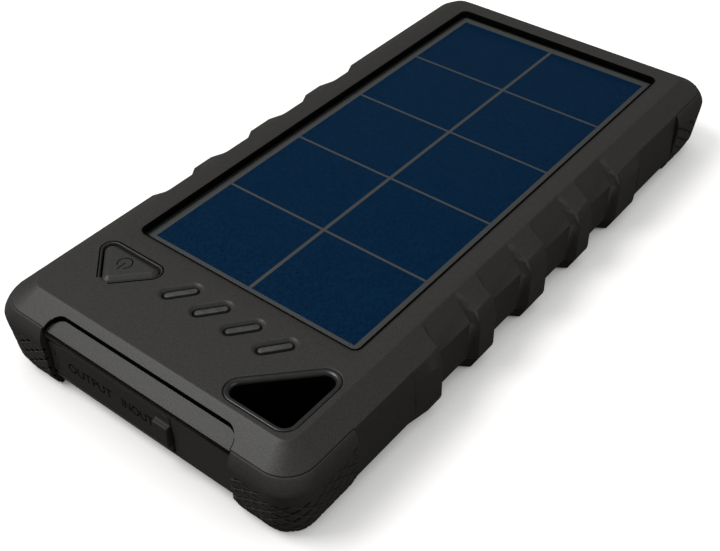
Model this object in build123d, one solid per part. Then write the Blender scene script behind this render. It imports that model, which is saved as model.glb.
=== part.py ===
from build123d import *
import math
import os

# Solar phone charger: a deep upper housing closed from below by a shallow lower housing, with rubber
# corner bumpers, a solar panel bonded into the top, a hinged port cover at the front end and a
# tongue-type power button. Millimetres, +Z up, +Y away from the ports, origin under the middle.

# ---------------------------------------------------------------- overall form
shell_width = 80.7          # over the rim, where the top slope meets the side wall
shell_length = 168.2        # over the rim, front to rear
upper_height = 16.4         # upper housing, from the split to the flat top
lower_height = 3.8          # lower housing, from its floor to the split
foot_height = 0.6           # how far the bumpers stand below the lower housing
rim_radius = 6.85           # corner radius of the rim in plan
slope_drop = 3.3            # height of the slope between the flat top and the rim
slope_run_side = 4.9        # plan width of that slope on the long sides
slope_run_end = 5.55        # plan width of that slope on the two ends
fold_radius = 3.0           # corner radius where the slope meets the flat top
wall_flare = 0.7            # the side wall stands out this far at the split
end_wall_inset = 0.2        # the end walls stand in this far at the split
lower_chamfer = 1.85        # how far the lower housing draws in towards its floor
wall_inset = 4.35           # rim to cavity, measured in plan
cavity_radius = 2.5
floor_thickness = 2.0
deck_thickness = 2.0        # top wall over the circuit board
fit_gap = 0.1               # between two fixed pieces that slot together
running_gap = 0.3           # between two pieces that move past each other
cut_margin = 1.0            # how far cutting shapes run past the faces they open

half_width = shell_width / 2
half_length = shell_length / 2
floor_z = foot_height
split_z = floor_z + lower_height
top_z = split_z + upper_height
rim_z = top_z - slope_drop
fold_half_width = half_width - slope_run_side
fold_half_length = half_length - slope_run_end
cavity_half_width = half_width - wall_inset
cavity_half_length = half_length - wall_inset
inner_floor_z = floor_z + floor_thickness
deck_under_z = top_z - deck_thickness
front_y = -half_length
front_wall_y = front_y + end_wall_inset

# ---------------------------------------------------------------- side ribs
rib_spans = ((-41.7, 2.2), (-25.9, 5.8), (-5.9, 6.9), (15.3, 5.7), (34.4, 9.3))  # start, length in Y
rib_ramp = 1.35             # length of the steep face at each side of a rib
first_ramp = 5.6            # longer run-up from the plain wall to the first rib
last_ramp = 2.9             # run-down from the last rib to the plain wall
rib_stand = 1.7             # rib face beyond the rim, at the split
rib_shoulder = 1.5          # rib face beyond the rim, at its shoulder
recess_depth = 0.5          # recess face inside the rim, at the split
shoulder_drop = 3.1         # shoulder below the rim
strip_inset = 1.5           # where the ribbed strip meets the plain body, inside the fold

# ---------------------------------------------------------------- corner bumpers
bumper_front_reach = 25.9   # plan distance from the middle to the bumper's end on the end faces
bumper_arm = 17.9           # length of the bumper's arm along the long side, from the rim's end
bumper_stand = 1.3          # bumper face beyond the rim at its fullest
bumper_lip = 0.1            # bumper beyond the rim at its top edge
bumper_wrap = 2.0           # bumper's depth inside the rim
bumper_toe = 1.0            # bumper face inside the rim where it meets the ground
bumper_chamfer_top = 4.2    # height where the lower chamfer starts
bumper_chamfer_stand = 0.7
bumper_tread_z = 10.5       # where the face starts to lean in towards the ground
bumper_tread_stand = 1.15
bumper_full_z = 14.2        # height where the bumper is fullest
bumper_brow_z = 16.0        # middle of the rounded brow under the seam
bumper_brow_stand = 0.9
bumper_squareness = 1.6     # how much tighter the bumper's corner is than the rim's, at its fullest
tongue_depth = 0.9          # retaining tongue that locks the bumper to the housings
tongue_height = 2.0
tongue_low = 7.5

# ---------------------------------------------------------------- solar panel
panel_front_margin = 31.55  # rim to panel opening at the port end
panel_rear_margin = 10.3
panel_side_margin = 10.4
panel_gap = 0.3             # panel to the wall of its pocket
opening_radius = 1.5
band_width = 3.8            # sloping band around the opening
band_depth = 0.5
band_radius = 3.0
glass_drop = 1.65           # panel surface below the flat top
resin_thickness = 0.65
cell_thickness = 0.2
board_stock = 1.2           # glass-fibre sheet that carries the solar cells
tape_thickness = 0.3
tape_width = 5.0
pocket_floor = 1.5
cell_columns = 2
cell_rows = 5
cell_side_border = 1.5      # bare border between the cells and the panel's long edges
cell_end_border = 2.0       # and the same at its two ends
column_gap = 0.75
row_gap = 0.5
solar_wire_radius = 0.4
solar_wire_x = (10.0, 13.0)
solar_hole_diameter = 6.4
solar_hole_inset = 4.0      # from the pocket's front edge

panel_half_width = half_width - panel_side_margin
panel_y0 = front_y + panel_front_margin
panel_y1 = half_length - panel_rear_margin
panel_centre_y = (panel_y0 + panel_y1) / 2
panel_length = panel_y1 - panel_y0
resin_top_z = top_z - glass_drop
resin_low_z = resin_top_z - resin_thickness
substrate_low_z = resin_low_z - board_stock
pocket_z = substrate_low_z - tape_thickness
pocket_under_z = pocket_z - pocket_floor

# ---------------------------------------------------------------- lanyard eyelet (three-sided hole)
eyelet_side_margin = 6.45   # rim to the eyelet's long edge
eyelet_front_margin = 6.6   # rim to the eyelet's front edge
eyelet_leg = 22.3           # the eyelet's front edge, corner to corner before rounding
eyelet_slant = 46.2         # angle of the slanting edge to the front edge, degrees
eyelet_radius = 3.4
eyelet_flange = 0.8         # flange beyond the tube
eyelet_flange_depth = 0.9
eyelet_wall = 1.2
eyelet_round = 1.4          # rounding of the inner top edge

eyelet_right = half_width - eyelet_side_margin
eyelet_front = front_y + eyelet_front_margin
eyelet_left = eyelet_right - eyelet_leg
eyelet_slope = math.tan(math.radians(eyelet_slant))
eyelet_back = eyelet_front + eyelet_leg * eyelet_slope

# ---------------------------------------------------------------- power button and charge lights
button_side_margin = 5.75   # rim to the button opening's rear corner
button_front_margin = 25.2  # rim to the button opening's rear edge
button_width = 21.3         # rear edge, corner to corner before rounding
button_slant = 46.3
button_radius = 2.0
button_gap = 0.4
button_thickness = 1.4
button_stand = 0.3
button_bevel = 1.1          # plan width of the sloping edge
button_bevel_drop = 0.8
button_stem_diameter = 3.0
switch_reach = 6.7          # hinge line to the switch, along Y
switch_size = 5.2
switch_body_height = 1.6
plunger_diameter = 2.4
plunger_fit = 0.05
plunger_length = 1.5
plunger_stand = 0.7         # plunger above its body

light_count = 4
light_front_margin = 22.6   # rim to the row of lights
light_slant = 51.0
light_recess_length = 9.2
light_recess_width = 3.9
light_recess_depth = 0.7
light_rim = 0.75            # sloping border of the recess
light_clear_left = 4.6      # button corner to the first light's centre
light_clear_right = 9.9     # last light's centre to the eyelet's slanting edge, along X
light_flange = 0.9
light_flange_thickness = 0.8
light_air_gap = 0.35        # light guide above its LED
led_length = 1.6
led_width = 0.8
led_height = 0.6

button_left = -half_width + button_side_margin
button_rear = front_y + button_front_margin
button_right = button_left + button_width
button_centre_x = button_left + button_width / 2
button_tip_y = button_rear - button_width / 2 * math.tan(math.radians(button_slant))
button_hinge_y = button_tip_y + button_radius * (math.sqrt(2) - 1)
button_top_z = top_z + button_stand
button_low_z = button_top_z - button_thickness
switch_y = button_hinge_y + switch_reach
light_y = front_y + light_front_margin


def slant_x(y):
    """X of the eyelet's slanting edge at a given Y."""
    return eyelet_left + (y - eyelet_front) / eyelet_slope


light_x0 = button_right + light_clear_left
light_x1 = slant_x(light_y) - light_clear_right
light_pitch = (light_x1 - light_x0) / (light_count - 1)
light_spots = [(light_x0 + light_pitch * i, light_y) for i in range(light_count)]

# ---------------------------------------------------------------- circuit board and sockets
board_thickness = 1.6
board_room = 4.3            # board to the top wall, for switch and light guides
board_edge_gap = 0.5
board_length = 24.8
board_side_reach = 9.5      # the board's side edge runs this far past the last light
board_screw_diameter = 2.0
board_screw_length = 5.0
board_screw_head = 3.6
board_screw_head_height = 1.2
board_post_diameter = 4.6
board_post_setback = 18.0   # middle case posts to the board post behind the front wall
pilot_skin = 0.5            # plastic left over a screw hole
usb_a_x = -13.6
usb_a_width = 13.1
usb_a_height = 5.7
usb_a_depth = 14.0
usb_c_x = 0.2
usb_c_width = 8.94
usb_c_height = 3.26
usb_c_depth = 7.35
socket_wall = 0.3
usb_a_tongue_width = 11.1
usb_a_tongue_height = 1.84
usb_a_tongue_setback = 2.6
usb_a_contacts = 4
usb_a_contact_pitch = 2.3
usb_a_contact_width = 1.1
contact_thickness = 0.15
usb_a_insert_depth = 2.2
usb_c_tongue_width = 6.7
usb_c_tongue_height = 0.7
usb_c_tongue_setback = 2.4
usb_c_insert_depth = 1.5

chip_size = 5.0
chip_height = 0.9
chip_spots = ((-24.0, 11.5), (-14.5, 19.5), (-2.5, 13.0))   # X, distance behind the board's front edge
coil_size = 6.6
coil_height = 3.0
coil_spot = (7.5, 17.5)
coil_bobbin = 5.0
can_diameter = 5.0
can_height = 5.6
can_spots = ((-31.0, 10.0), (-31.0, 15.8))
chip_cap_size = (2.0, 1.25, 1.2)
chip_cap_count = 6
chip_cap_pitch = 2.6
chip_cap_start = (0.0, 21.9)

board_top_z = deck_under_z - board_room
board_low_z = board_top_z - board_thickness
board_front_y = -cavity_half_length + board_edge_gap
board_rear_y = board_front_y + board_length
board_left_x = -cavity_half_width + board_edge_gap
board_right_x = light_x1 + board_side_reach

# ---------------------------------------------------------------- port cover
cover_left = -22.3
cover_right = 9.7
cover_height = 9.7
cover_thickness = 1.5
cover_radius = 1.2
cover_base_gap = 0.3
cover_tab_width = 4.1
cover_tab_height = 5.5
cover_tab_low = 2.2         # tab above the cover's lower edge
cover_tab_stand = 1.2
cover_tab_radius = 0.4
bung_depth = 1.6
strap_height = 1.9
strap_thickness = 0.8
strap_lows = (2.0, 5.9)     # lower edge of each strap above the cover's lower edge
strap_reach = 1.45          # cover's end to the hinge line
anchor_width = 1.2
anchor_root = 1.5           # how deep the anchor sits in the wall
anchor_height = 8.0
anchor_low = 1.0
anchor_side_gap = 0.25      # anchor to the bumper's end

recess_floor_y = front_wall_y + cover_thickness + running_gap
cover_z0 = split_z + cover_base_gap
cover_z1 = cover_z0 + cover_height
recess_top_z = cover_z1 + running_gap
hinge_x = cover_left - strap_reach
recess_left = -bumper_front_reach
anchor_x0 = recess_left + anchor_side_gap
socket_mouth_y = recess_floor_y + fit_gap

# ---------------------------------------------------------------- ledge across the front slope
ledge_half_width = 25.6
ledge_setback = 3.65        # rim to the ledge's upper edge, in plan
ledge_depth = 1.45
ledge_radius = 3.4

# ---------------------------------------------------------------- battery
cell_side_gap = 1.0
cell_front_gap = 5.2        # screw posts to the cells
cell_rear_gap = 7.9         # cells to the rear cavity wall
foam_low = 0.6
foam_high = 0.5
cell_bond = 0.2
pouch_radius = 2.0
pad_length = 14.0
pad_inset = 9.0
protection_length = 44.0
protection_thickness = 0.8
protection_inset = 1.4      # protection board inside the pair of cells, top and bottom
protection_gap = 1.8        # cells to the protection board
cell_tab_width = 5.0
cell_tab_thickness = 0.15
cell_tab_x = (-14.0, 14.0)
battery_wire_radius = 0.6
battery_wire_x = (-6.0, -3.6)
battery_stop = 1.2          # thickness of the ribs that hold the battery lengthwise
battery_stop_height = 4.0
battery_stop_width = 40.0

# ---------------------------------------------------------------- screws, seal and base
case_post_diameter = 5.4
case_screw_diameter = 2.4
case_screw_length = 9.0
case_screw_head = 4.2
case_screw_head_height = 1.5
case_head_recess = 1.9
screw_socket_width = 1.5
screw_socket_depth = 0.7
head_clearance = 0.4
hole_clearance = 0.4
thread_gap = 0.05
post_inset = 3.5
middle_post_y = 33.8        # rim to the middle pair of posts
front_post_x = 10.4
root_sink = 0.5             # how deep a post or rib is rooted in the floor
seal_width = 1.2
seal_height = 1.0
seal_inset = 0.55           # cavity wall to the seal
label_width = 46.0
label_length = 70.0
label_depth = 0.3
label_radius = 2.0

mid_post_y = front_y + middle_post_y
case_spots = [
    (-cavity_half_width + post_inset, -cavity_half_length + post_inset),
    (front_post_x, -cavity_half_length + post_inset),
    (-cavity_half_width + post_inset, mid_post_y),
    (cavity_half_width - post_inset, mid_post_y),
    (-cavity_half_width + post_inset, cavity_half_length - post_inset),
    (cavity_half_width - post_inset, cavity_half_length - post_inset),
]
board_spots = [
    (usb_a_x - usb_a_width / 2 - post_inset, board_front_y + post_inset),
    (front_post_x, mid_post_y - board_post_setback),
    (board_left_x + post_inset, board_rear_y - post_inset),
    (board_right_x - post_inset, board_rear_y - post_inset),
]
pouch_half_width = cavity_half_width - cell_side_gap
pouch_y0 = mid_post_y + case_post_diameter / 2 + cell_front_gap
pouch_y1 = cavity_half_length - cell_rear_gap
pouch_z0 = inner_floor_z + foam_low
pouch_thickness = (pocket_under_z - foam_high - pouch_z0 - cell_bond) / 2
pouch_mid_z = pouch_z0 + pouch_thickness + cell_bond
protection_y = pouch_y0 - protection_gap
protection_z0 = pouch_z0 + protection_inset
protection_z1 = pouch_mid_z + pouch_thickness - protection_inset


# ================================================================ helpers
def block(x0, x1, y0, y1, z0, z1):
    """Box between two corners."""
    size = (x1 - x0, y1 - y0, z1 - z0)
    centre = ((x0 + x1) / 2, (y0 + y1) / 2, (z0 + z1) / 2)
    return Pos(*centre) * Box(*size)


def slab(half_x, half_y, z0, z1, radius, centre_y=0.0):
    """Upright plate with a rounded rectangular outline."""
    outline = RectangleRounded(2 * half_x, 2 * half_y, radius)
    return Pos(0, centre_y, z0) * extrude(outline, z1 - z0)


def column(x, y, z0, z1, diameter):
    """Upright round bar."""
    return Pos(x, y, (z0 + z1) / 2) * Cylinder(diameter / 2, z1 - z0)


def prism(outline, z0, z1):
    """Upright solid on any flat outline drawn at Z 0."""
    return Pos(0, 0, z0) * extrude(outline, z1 - z0)


def rounded_polygon(points, radius):
    """Flat face with every corner rounded."""
    face = make_face(Polyline(*points, close=True))
    return fillet(face.vertices(), radius)


def taper(sections):
    """Solid between rounded rectangles: each section is (z, half_x, half_y, radius)."""
    faces = [Pos(0, 0, z) * RectangleRounded(2 * hx, 2 * hy, r) for z, hx, hy, r in sections]
    return loft(faces, ruled=True)


def side_section(points, y):
    """Closed outline across the body at a given Y, from (x, z) points."""
    return make_face(Polyline(*[(x, y, z) for x, z in points], close=True))


def wire(points, radius):
    """Round wire along straight stretches with bent corners."""
    path = Line(*points) if len(points) == 2 else FilletPolyline(*points, radius=2 * radius)
    start = Plane(origin=path @ 0, z_dir=path % 0)
    return sweep(start * Circle(radius), path=path)


def capsule(length, width, x, y):
    """Slot outline turned to the slant of the charge lights."""
    return Pos(x, y) * Rot(0, 0, light_slant) * SlotOverall(length, width)


def corner_boxes():
    """The four corner regions that the bumpers take, as (name, box)."""
    reach = half_width + bumper_stand + cut_margin
    far = half_length + bumper_stand + cut_margin
    near = half_length - bumper_arm
    regions = []
    for side, sx in (("left", -1), ("right", 1)):
        for end, sy in (("front", -1), ("rear", 1)):
            xs = sorted((sx * bumper_front_reach, sx * reach))
            ys = sorted((sy * near, sy * far))
            name = "bumper_" + end + "_" + side
            regions.append((name, block(*xs, *ys, 0, rim_z)))
    return regions


def save(name, *solids):
    """Write one node, made of one or more separate solids."""
    shape = solids[0] if len(solids) == 1 else Compound(children=list(solids))
    shape.label = name
    export_step(shape, "parts/" + name + ".step")


# ================================================================ outlines shared by several pieces
def eyelet_outline(inset):
    """Three-sided outline of the lanyard hole, drawn in from its outer edge."""
    corners = [(eyelet_left, eyelet_front), (eyelet_right, eyelet_front), (eyelet_right, eyelet_back)]
    face = rounded_polygon(corners, eyelet_radius)
    return face if inset == 0 else offset(face, -inset)


def button_outline(inset):
    """Three-sided outline of the power button's opening, drawn in from its edge."""
    corners = [(button_left, button_rear), (button_right, button_rear), (button_centre_x, button_tip_y)]
    face = rounded_polygon(corners, button_radius)
    return face if inset == 0 else offset(face, -inset)


def side_profiles():
    """Cross-section points of the side above the split for plain wall, rib and recess."""
    inner = fold_half_width - strip_inset
    shoulder_z = rim_z - shoulder_drop
    recess_x = half_width - recess_depth
    middle_x = (fold_half_width + recess_x) / 2
    middle_z = (top_z + shoulder_z) / 2

    def outline(rim, shoulder, foot):
        return [(inner, top_z), (fold_half_width, top_z), rim, shoulder, foot, (inner, split_z)]

    plain = outline((half_width, rim_z), (half_width + wall_flare / 2, shoulder_z),
                    (half_width + wall_flare, split_z))
    rib = outline((half_width, rim_z), (half_width + rib_shoulder, shoulder_z),
                  (half_width + rib_stand, split_z))
    recess = outline((middle_x, middle_z), (recess_x, shoulder_z), (recess_x, split_z))
    return plain, rib, recess


def rib_stations(plain, rib, recess):
    """Pairs of (y, section) along the ribbed strip, front to rear."""
    stations = [(rib_spans[0][0] - first_ramp, plain)]
    for index, (start, length) in enumerate(rib_spans):
        if index:
            stations.append((start - rib_ramp, recess))
        stations += [(start, rib), (start + length, rib)]
        if index < len(rib_spans) - 1:
            stations.append((start + length + rib_ramp, recess))
    stations.append((rib_spans[-1][0] + rib_spans[-1][1] + last_ramp, plain))
    return stations


def with_ribs(body, profiles, z0, z1):
    """Swap the plain sides of a body for the ribbed strip, on both sides."""
    stations = rib_stations(*profiles)
    inner = profiles[0][0][0]
    strip = loft([side_section(points, y) for y, points in stations], ruled=True)
    outside = half_width + rib_stand + cut_margin
    y0 = stations[0][0]
    y1 = stations[-1][0]
    plain_side = block(inner, outside, y0, y1, z0, z1)
    for item in (strip, mirror(strip, about=Plane.YZ)):
        side = plain_side if item is strip else mirror(plain_side, about=Plane.YZ)
        body = body - side + item
    return body


def bumper_core(grow, z0, z1):
    """Body inside the bumpers; the bumpers lie outside it."""
    half_x = half_width - bumper_wrap + grow
    half_y = half_length - bumper_wrap + grow
    return slab(half_x, half_y, z0, z1, rim_radius - bumper_wrap + grow)


def bumper_pockets(body):
    """Cut the corners of a housing for the bumpers and their retaining tongues."""
    low = -cut_margin
    groove = bumper_core(-tongue_depth, tongue_low - fit_gap, tongue_low + tongue_height + fit_gap)
    band = block(-half_width, half_width, -half_length, half_length,
                 tongue_low - fit_gap, tongue_low + tongue_height + fit_gap)
    for _, region in corner_boxes():
        body -= region - bumper_core(0, low, rim_z)
        body -= (band & region) - groove
    return body


# ================================================================ housings
def ledge_cut():
    """Shallow step across the front slope, parallel to it."""
    gradient = slope_drop / slope_run_end
    upper_y = front_y + ledge_setback
    depth = ledge_setback + cut_margin
    plan = Pos(0, upper_y - depth) * RectangleRounded(2 * ledge_half_width, 2 * depth, ledge_radius)
    region = prism(plan, split_z, top_z + cut_margin)
    z_fold = top_z - ledge_depth
    low_y = front_y - cut_margin
    z_low = z_fold - gradient * (front_y + slope_run_end - low_y)
    z_up = top_z + cut_margin
    back_y = front_y + slope_run_end
    points = [(back_y, z_fold), (low_y, z_low), (low_y, z_up), (back_y, z_up)]
    wedge = make_face(Polyline(*[(-ledge_half_width, y, z) for y, z in points], close=True))
    return region & extrude(wedge, amount=2 * ledge_half_width, dir=(1, 0, 0))


def upper_form():
    """Outside of the upper housing with slopes, ribs and the ledge."""
    half_x = half_width + wall_flare
    half_y = half_length - end_wall_inset
    body = taper([(split_z, half_x, half_y, rim_radius), (rim_z, half_width, half_length, rim_radius)])
    body += taper([(rim_z, half_width, half_length, rim_radius),
                   (top_z, fold_half_width, fold_half_length, fold_radius)])
    body = with_ribs(body, side_profiles(), split_z, top_z + cut_margin)
    return body - ledge_cut()


def cavity_column(z0, z1):
    """Full plan of the cavity between two heights."""
    return slab(cavity_half_width, cavity_half_length, z0, z1, cavity_radius)


def upper_cavity():
    """Room inside the upper housing: low under the panel, high over the circuit board."""
    step_y = panel_y0 - deck_thickness
    low_room = block(-cavity_half_width, cavity_half_width, step_y, cavity_half_length,
                     split_z - cut_margin, pocket_under_z)
    slope_start = -cavity_half_length + deck_thickness
    points = [(step_y, split_z - cut_margin), (step_y, deck_under_z), (slope_start, deck_under_z),
              (-cavity_half_length, deck_under_z - deck_thickness - ledge_depth / 2),
              (-cavity_half_length, split_z - cut_margin)]
    face = make_face(Polyline(*[(-cavity_half_width, y, z) for y, z in points], close=True))
    high_room = extrude(face, amount=2 * cavity_half_width, dir=(1, 0, 0))
    return (low_room + high_room) & cavity_column(split_z - cut_margin, top_z)


def panel_pocket():
    """Sloping band around the opening, and the pocket that takes the panel."""
    half_x = panel_half_width
    half_y = panel_length / 2
    outer = RectangleRounded(2 * (half_x + band_width), 2 * (half_y + band_width), band_radius)
    inner = RectangleRounded(2 * half_x, 2 * half_y, opening_radius)
    band = loft([Pos(0, 0, top_z) * outer, Pos(0, 0, top_z - band_depth) * inner], ruled=True)
    pocket = prism(inner, pocket_z, top_z)
    hole = column(sum(solar_wire_x) / 2, solar_hole_inset - half_y, pocket_under_z - cut_margin,
                  pocket_z + cut_margin, solar_hole_diameter)
    return Pos(0, panel_centre_y, 0) * (band + pocket + hole)


def light_cut(x, y):
    """Dished recess and window for one charge light."""
    wide = capsule(light_recess_length, light_recess_width, x, y)
    narrow = capsule(light_recess_length - 2 * light_rim, light_recess_width - 2 * light_rim, x, y)
    dish = loft([Pos(0, 0, top_z) * wide, Pos(0, 0, top_z - light_recess_depth) * narrow], ruled=True)
    return dish + prism(narrow, deck_under_z - cut_margin, top_z)


def socket_cuts():
    """Openings for the two sockets in the front wall."""
    y0 = front_wall_y - cut_margin
    y1 = -cavity_half_length + cut_margin
    grow = fit_gap
    a_cut = block(usb_a_x - usb_a_width / 2 - grow, usb_a_x + usb_a_width / 2 + grow, y0, y1,
                  board_low_z - usb_a_height - grow, board_low_z + grow)
    outline = SlotOverall(usb_c_width + 2 * grow, usb_c_height + 2 * grow)
    return a_cut + extrude(usb_c_plane(y0) * outline, y1 - y0)


def cover_recess():
    """Shallow recess in the front wall for the port cover, with the slot for its anchor."""
    opening = block(recess_left, cover_right + running_gap, front_y - cut_margin, recess_floor_y,
                    split_z - cut_margin, recess_top_z)
    z0 = cover_z0 + anchor_low
    slot = block(anchor_x0, anchor_x0 + anchor_width, recess_floor_y - cut_margin,
                 recess_floor_y + anchor_root, z0, z0 + anchor_height)
    return opening + slot


def upper_housing():
    """Deep upper moulding: top, sides, front wall and the posts inside."""
    body = bumper_pockets(upper_form()) - upper_cavity()
    for x, y in case_spots:
        body += column(x, y, split_z, post_top(y), case_post_diameter)
    for x, y in board_spots:
        body += column(x, y, board_top_z, deck_under_z, board_post_diameter)
    body -= panel_pocket()
    body -= prism(eyelet_outline(0), top_z - eyelet_flange_depth, top_z + cut_margin)
    body -= prism(eyelet_outline(eyelet_flange - fit_gap), split_z, top_z)
    body -= prism(button_outline(0), deck_under_z - cut_margin, top_z + cut_margin)
    for x, y in light_spots:
        body -= light_cut(x, y)
    for x, y in case_spots:
        body -= column(x, y, split_z - cut_margin, case_pilot_top(), case_screw_diameter + 2 * thread_gap)
    for x, y in board_spots:
        body -= column(x, y, board_top_z - cut_margin, board_pilot_top(),
                       board_screw_diameter + 2 * thread_gap)
    return body - cover_recess() - socket_cuts()


def post_top(y):
    """Underside of the top wall over a post."""
    return deck_under_z if y < panel_y0 - deck_thickness else pocket_under_z


def case_pilot_top():
    """Top of the screw hole in a case post, just past the screw's end."""
    return floor_z + case_head_recess + case_screw_length + 2 * thread_gap


def board_pilot_top():
    """Top of the screw hole in a board post, just past the screw's end."""
    return min(board_low_z + board_screw_length + 2 * thread_gap, top_z - pilot_skin)


def lower_form():
    """Outside of the lower housing, drawn in towards its floor, with the feet of the ribs."""
    half_x = half_width + wall_flare
    half_y = half_length - end_wall_inset
    radius = rim_radius - lower_chamfer / 2
    body = taper([(floor_z, half_x - lower_chamfer, half_y - lower_chamfer, radius),
                  (split_z, half_x, half_y, rim_radius)])
    inner = fold_half_width - strip_inset

    def outline(face_x):
        return [(inner, split_z), (face_x, split_z), (face_x - lower_chamfer, floor_z), (inner, floor_z)]

    profiles = (outline(half_x), outline(half_width + rib_stand), outline(half_width - recess_depth))
    return with_ribs(body, profiles, floor_z - cut_margin, split_z + cut_margin)


def lower_housing():
    """Shallow tray that closes the underside and carries the seal."""
    body = bumper_pockets(lower_form())
    body -= cavity_column(inner_floor_z, split_z + cut_margin)
    for x, y in case_spots:
        body += column(x, y, inner_floor_z - root_sink, split_z, case_post_diameter)
    for y in (pouch_y0 - battery_stop - running_gap, pouch_y1 + running_gap):
        body += block(-battery_stop_width / 2, battery_stop_width / 2, y, y + battery_stop,
                      inner_floor_z - root_sink, inner_floor_z + battery_stop_height)
    for x, y in case_spots:
        body -= column(x, y, -cut_margin, floor_z + case_head_recess, case_screw_head + head_clearance)
        body -= column(x, y, 0, split_z + cut_margin, case_screw_diameter + hole_clearance)
    body -= prism(eyelet_outline(eyelet_flange - fit_gap), -cut_margin, split_z + cut_margin)
    body -= slab(label_width / 2, label_length / 2, -cut_margin, floor_z + label_depth, label_radius)
    return body - seal_ring(fit_gap)


def seal_ring(grow):
    """Rubber seal between the housings; grow widens it into its groove."""
    inner_x = cavity_half_width + seal_inset - grow
    inner_y = cavity_half_length + seal_inset - grow
    radius = cavity_radius + seal_inset - grow
    width = seal_width + 2 * grow
    z0 = split_z - seal_height
    outer = slab(inner_x + width, inner_y + width, z0, split_z, radius + width)
    return outer - slab(inner_x, inner_y, z0 - cut_margin, split_z + cut_margin, radius)


def bumpers():
    """Four rubber corner bumpers, as (name, solid)."""
    sections = [(0, -bumper_toe, 0), (bumper_chamfer_top, bumper_chamfer_stand, 0),
                (bumper_tread_z, bumper_tread_stand, bumper_squareness / 2),
                (bumper_full_z, bumper_stand, bumper_squareness),
                (bumper_brow_z, bumper_brow_stand, bumper_squareness / 2), (rim_z - fit_gap, bumper_lip, 0)]
    form = taper([(z, half_width + out, half_length + out, rim_radius + out - tighter)
                  for z, out, tighter in sections])
    ring = form - bumper_core(0, -cut_margin, rim_z)
    tongue = bumper_core(0, tongue_low, tongue_low + tongue_height)
    tongue -= bumper_core(fit_gap - tongue_depth, 0, rim_z)
    whole = ring + tongue
    pieces = []
    for name, region in corner_boxes():
        sx = 1 if name.endswith("right") else -1
        sy = 1 if "rear" in name else -1
        piece = whole & (Pos(sx * fit_gap, sy * fit_gap, 0) * region)
        pieces.append((name, piece))
    return pieces


def eyelet():
    """Hard liner of the lanyard hole, flanged at the top, its inner edge rounded."""
    body = prism(eyelet_outline(eyelet_flange), floor_z, top_z)
    body += prism(eyelet_outline(fit_gap), top_z - eyelet_flange_depth, top_z)
    body -= prism(eyelet_outline(eyelet_flange + eyelet_wall), floor_z - cut_margin, top_z + cut_margin)
    top_face = body.faces().sort_by(Axis.Z)[-1]
    return fillet(top_face.inner_wires()[0].edges(), eyelet_round)


# ================================================================ solar panel
def cell_solids():
    """Ten solar cells in two columns of five."""
    usable_x = 2 * (panel_half_width - panel_gap - cell_side_border)
    usable_y = panel_length - 2 * (panel_gap + cell_end_border)
    width = (usable_x - column_gap * (cell_columns - 1)) / cell_columns
    length = (usable_y - row_gap * (cell_rows - 1)) / cell_rows
    cells = []
    for row in range(cell_rows):
        for col in range(cell_columns):
            x0 = -usable_x / 2 + col * (width + column_gap)
            y0 = panel_centre_y - usable_y / 2 + row * (length + row_gap)
            cells.append(block(x0, x0 + width, y0, y0 + length, resin_low_z, resin_low_z + cell_thickness))
    return cells


def panel_plate(z0, z1):
    """Plate with the panel's outline."""
    radius = opening_radius - panel_gap
    half_x = panel_half_width - panel_gap
    return slab(half_x, panel_length / 2 - panel_gap, z0, z1, radius, panel_centre_y)


def solar_resin():
    """Clear resin over the cells, filled in around each of them."""
    body = panel_plate(resin_low_z, resin_top_z)
    for cell in cell_solids():
        body -= cell
    return body


def solar_tape():
    """Frame of double-sided tape under the edge of the panel."""
    frame = panel_plate(pocket_z, substrate_low_z)
    half_x = panel_half_width - panel_gap - tape_width
    half_y = panel_length / 2 - panel_gap - tape_width - solar_hole_inset
    radius = opening_radius - panel_gap
    inner = slab(half_x, half_y, pocket_z - cut_margin, substrate_low_z + cut_margin, radius,
                 panel_centre_y)
    hole = column(sum(solar_wire_x) / 2, panel_y0 + solar_hole_inset, pocket_z - cut_margin,
                  substrate_low_z + cut_margin, solar_hole_diameter)
    return frame - inner - hole


def solar_leads():
    """Two wires from the panel's back to the circuit board's rear edge."""
    z_run = board_top_z + solar_wire_radius + thread_gap
    start_y = panel_y0 + solar_hole_inset
    end_y = board_rear_y - post_inset
    return [wire([(x, start_y, substrate_low_z), (x, start_y, z_run), (x, end_y, z_run)],
                 solar_wire_radius) for x in solar_wire_x]


# ================================================================ button, switch and lights
def power_button():
    """Tongue button: bevelled three-sided cap with a stem over the switch."""
    outline = button_outline(button_gap)
    cap = prism(outline, button_low_z, button_top_z - button_bevel_drop)
    cap += loft([Pos(0, 0, button_top_z - button_bevel_drop) * outline,
                 Pos(0, 0, button_top_z) * button_outline(button_gap + button_bevel)], ruled=True)
    stem_low = board_top_z + switch_body_height + plunger_stand + running_gap
    return cap + column(button_centre_x, switch_y, stem_low, button_low_z, button_stem_diameter)


def switch_body():
    """Tactile switch under the button."""
    half = switch_size / 2
    z1 = board_top_z + switch_body_height
    body = block(button_centre_x - half, button_centre_x + half, switch_y - half, switch_y + half,
                 board_top_z, z1)
    bore = plunger_diameter + 2 * plunger_fit
    return body - column(button_centre_x, switch_y, board_top_z - cut_margin, z1 + cut_margin, bore)


def switch_plunger():
    """Sliding plunger of the switch."""
    z1 = board_top_z + switch_body_height + plunger_stand
    return column(button_centre_x, switch_y, z1 - plunger_length, z1, plunger_diameter)


def light_guides():
    """Four diffusing light guides with a flange under the top wall."""
    guides = []
    length = light_recess_length - 2 * light_rim
    width = light_recess_width - 2 * light_rim
    low = board_top_z + led_height + light_air_gap
    for x, y in light_spots:
        bar = prism(capsule(length - 2 * fit_gap, width - 2 * fit_gap, x, y), low,
                    top_z - light_recess_depth)
        flange = prism(capsule(length + 2 * light_flange, width + 2 * light_flange, x, y),
                       deck_under_z - light_flange_thickness, deck_under_z)
        guides.append(bar + flange)
    return guides


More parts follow.
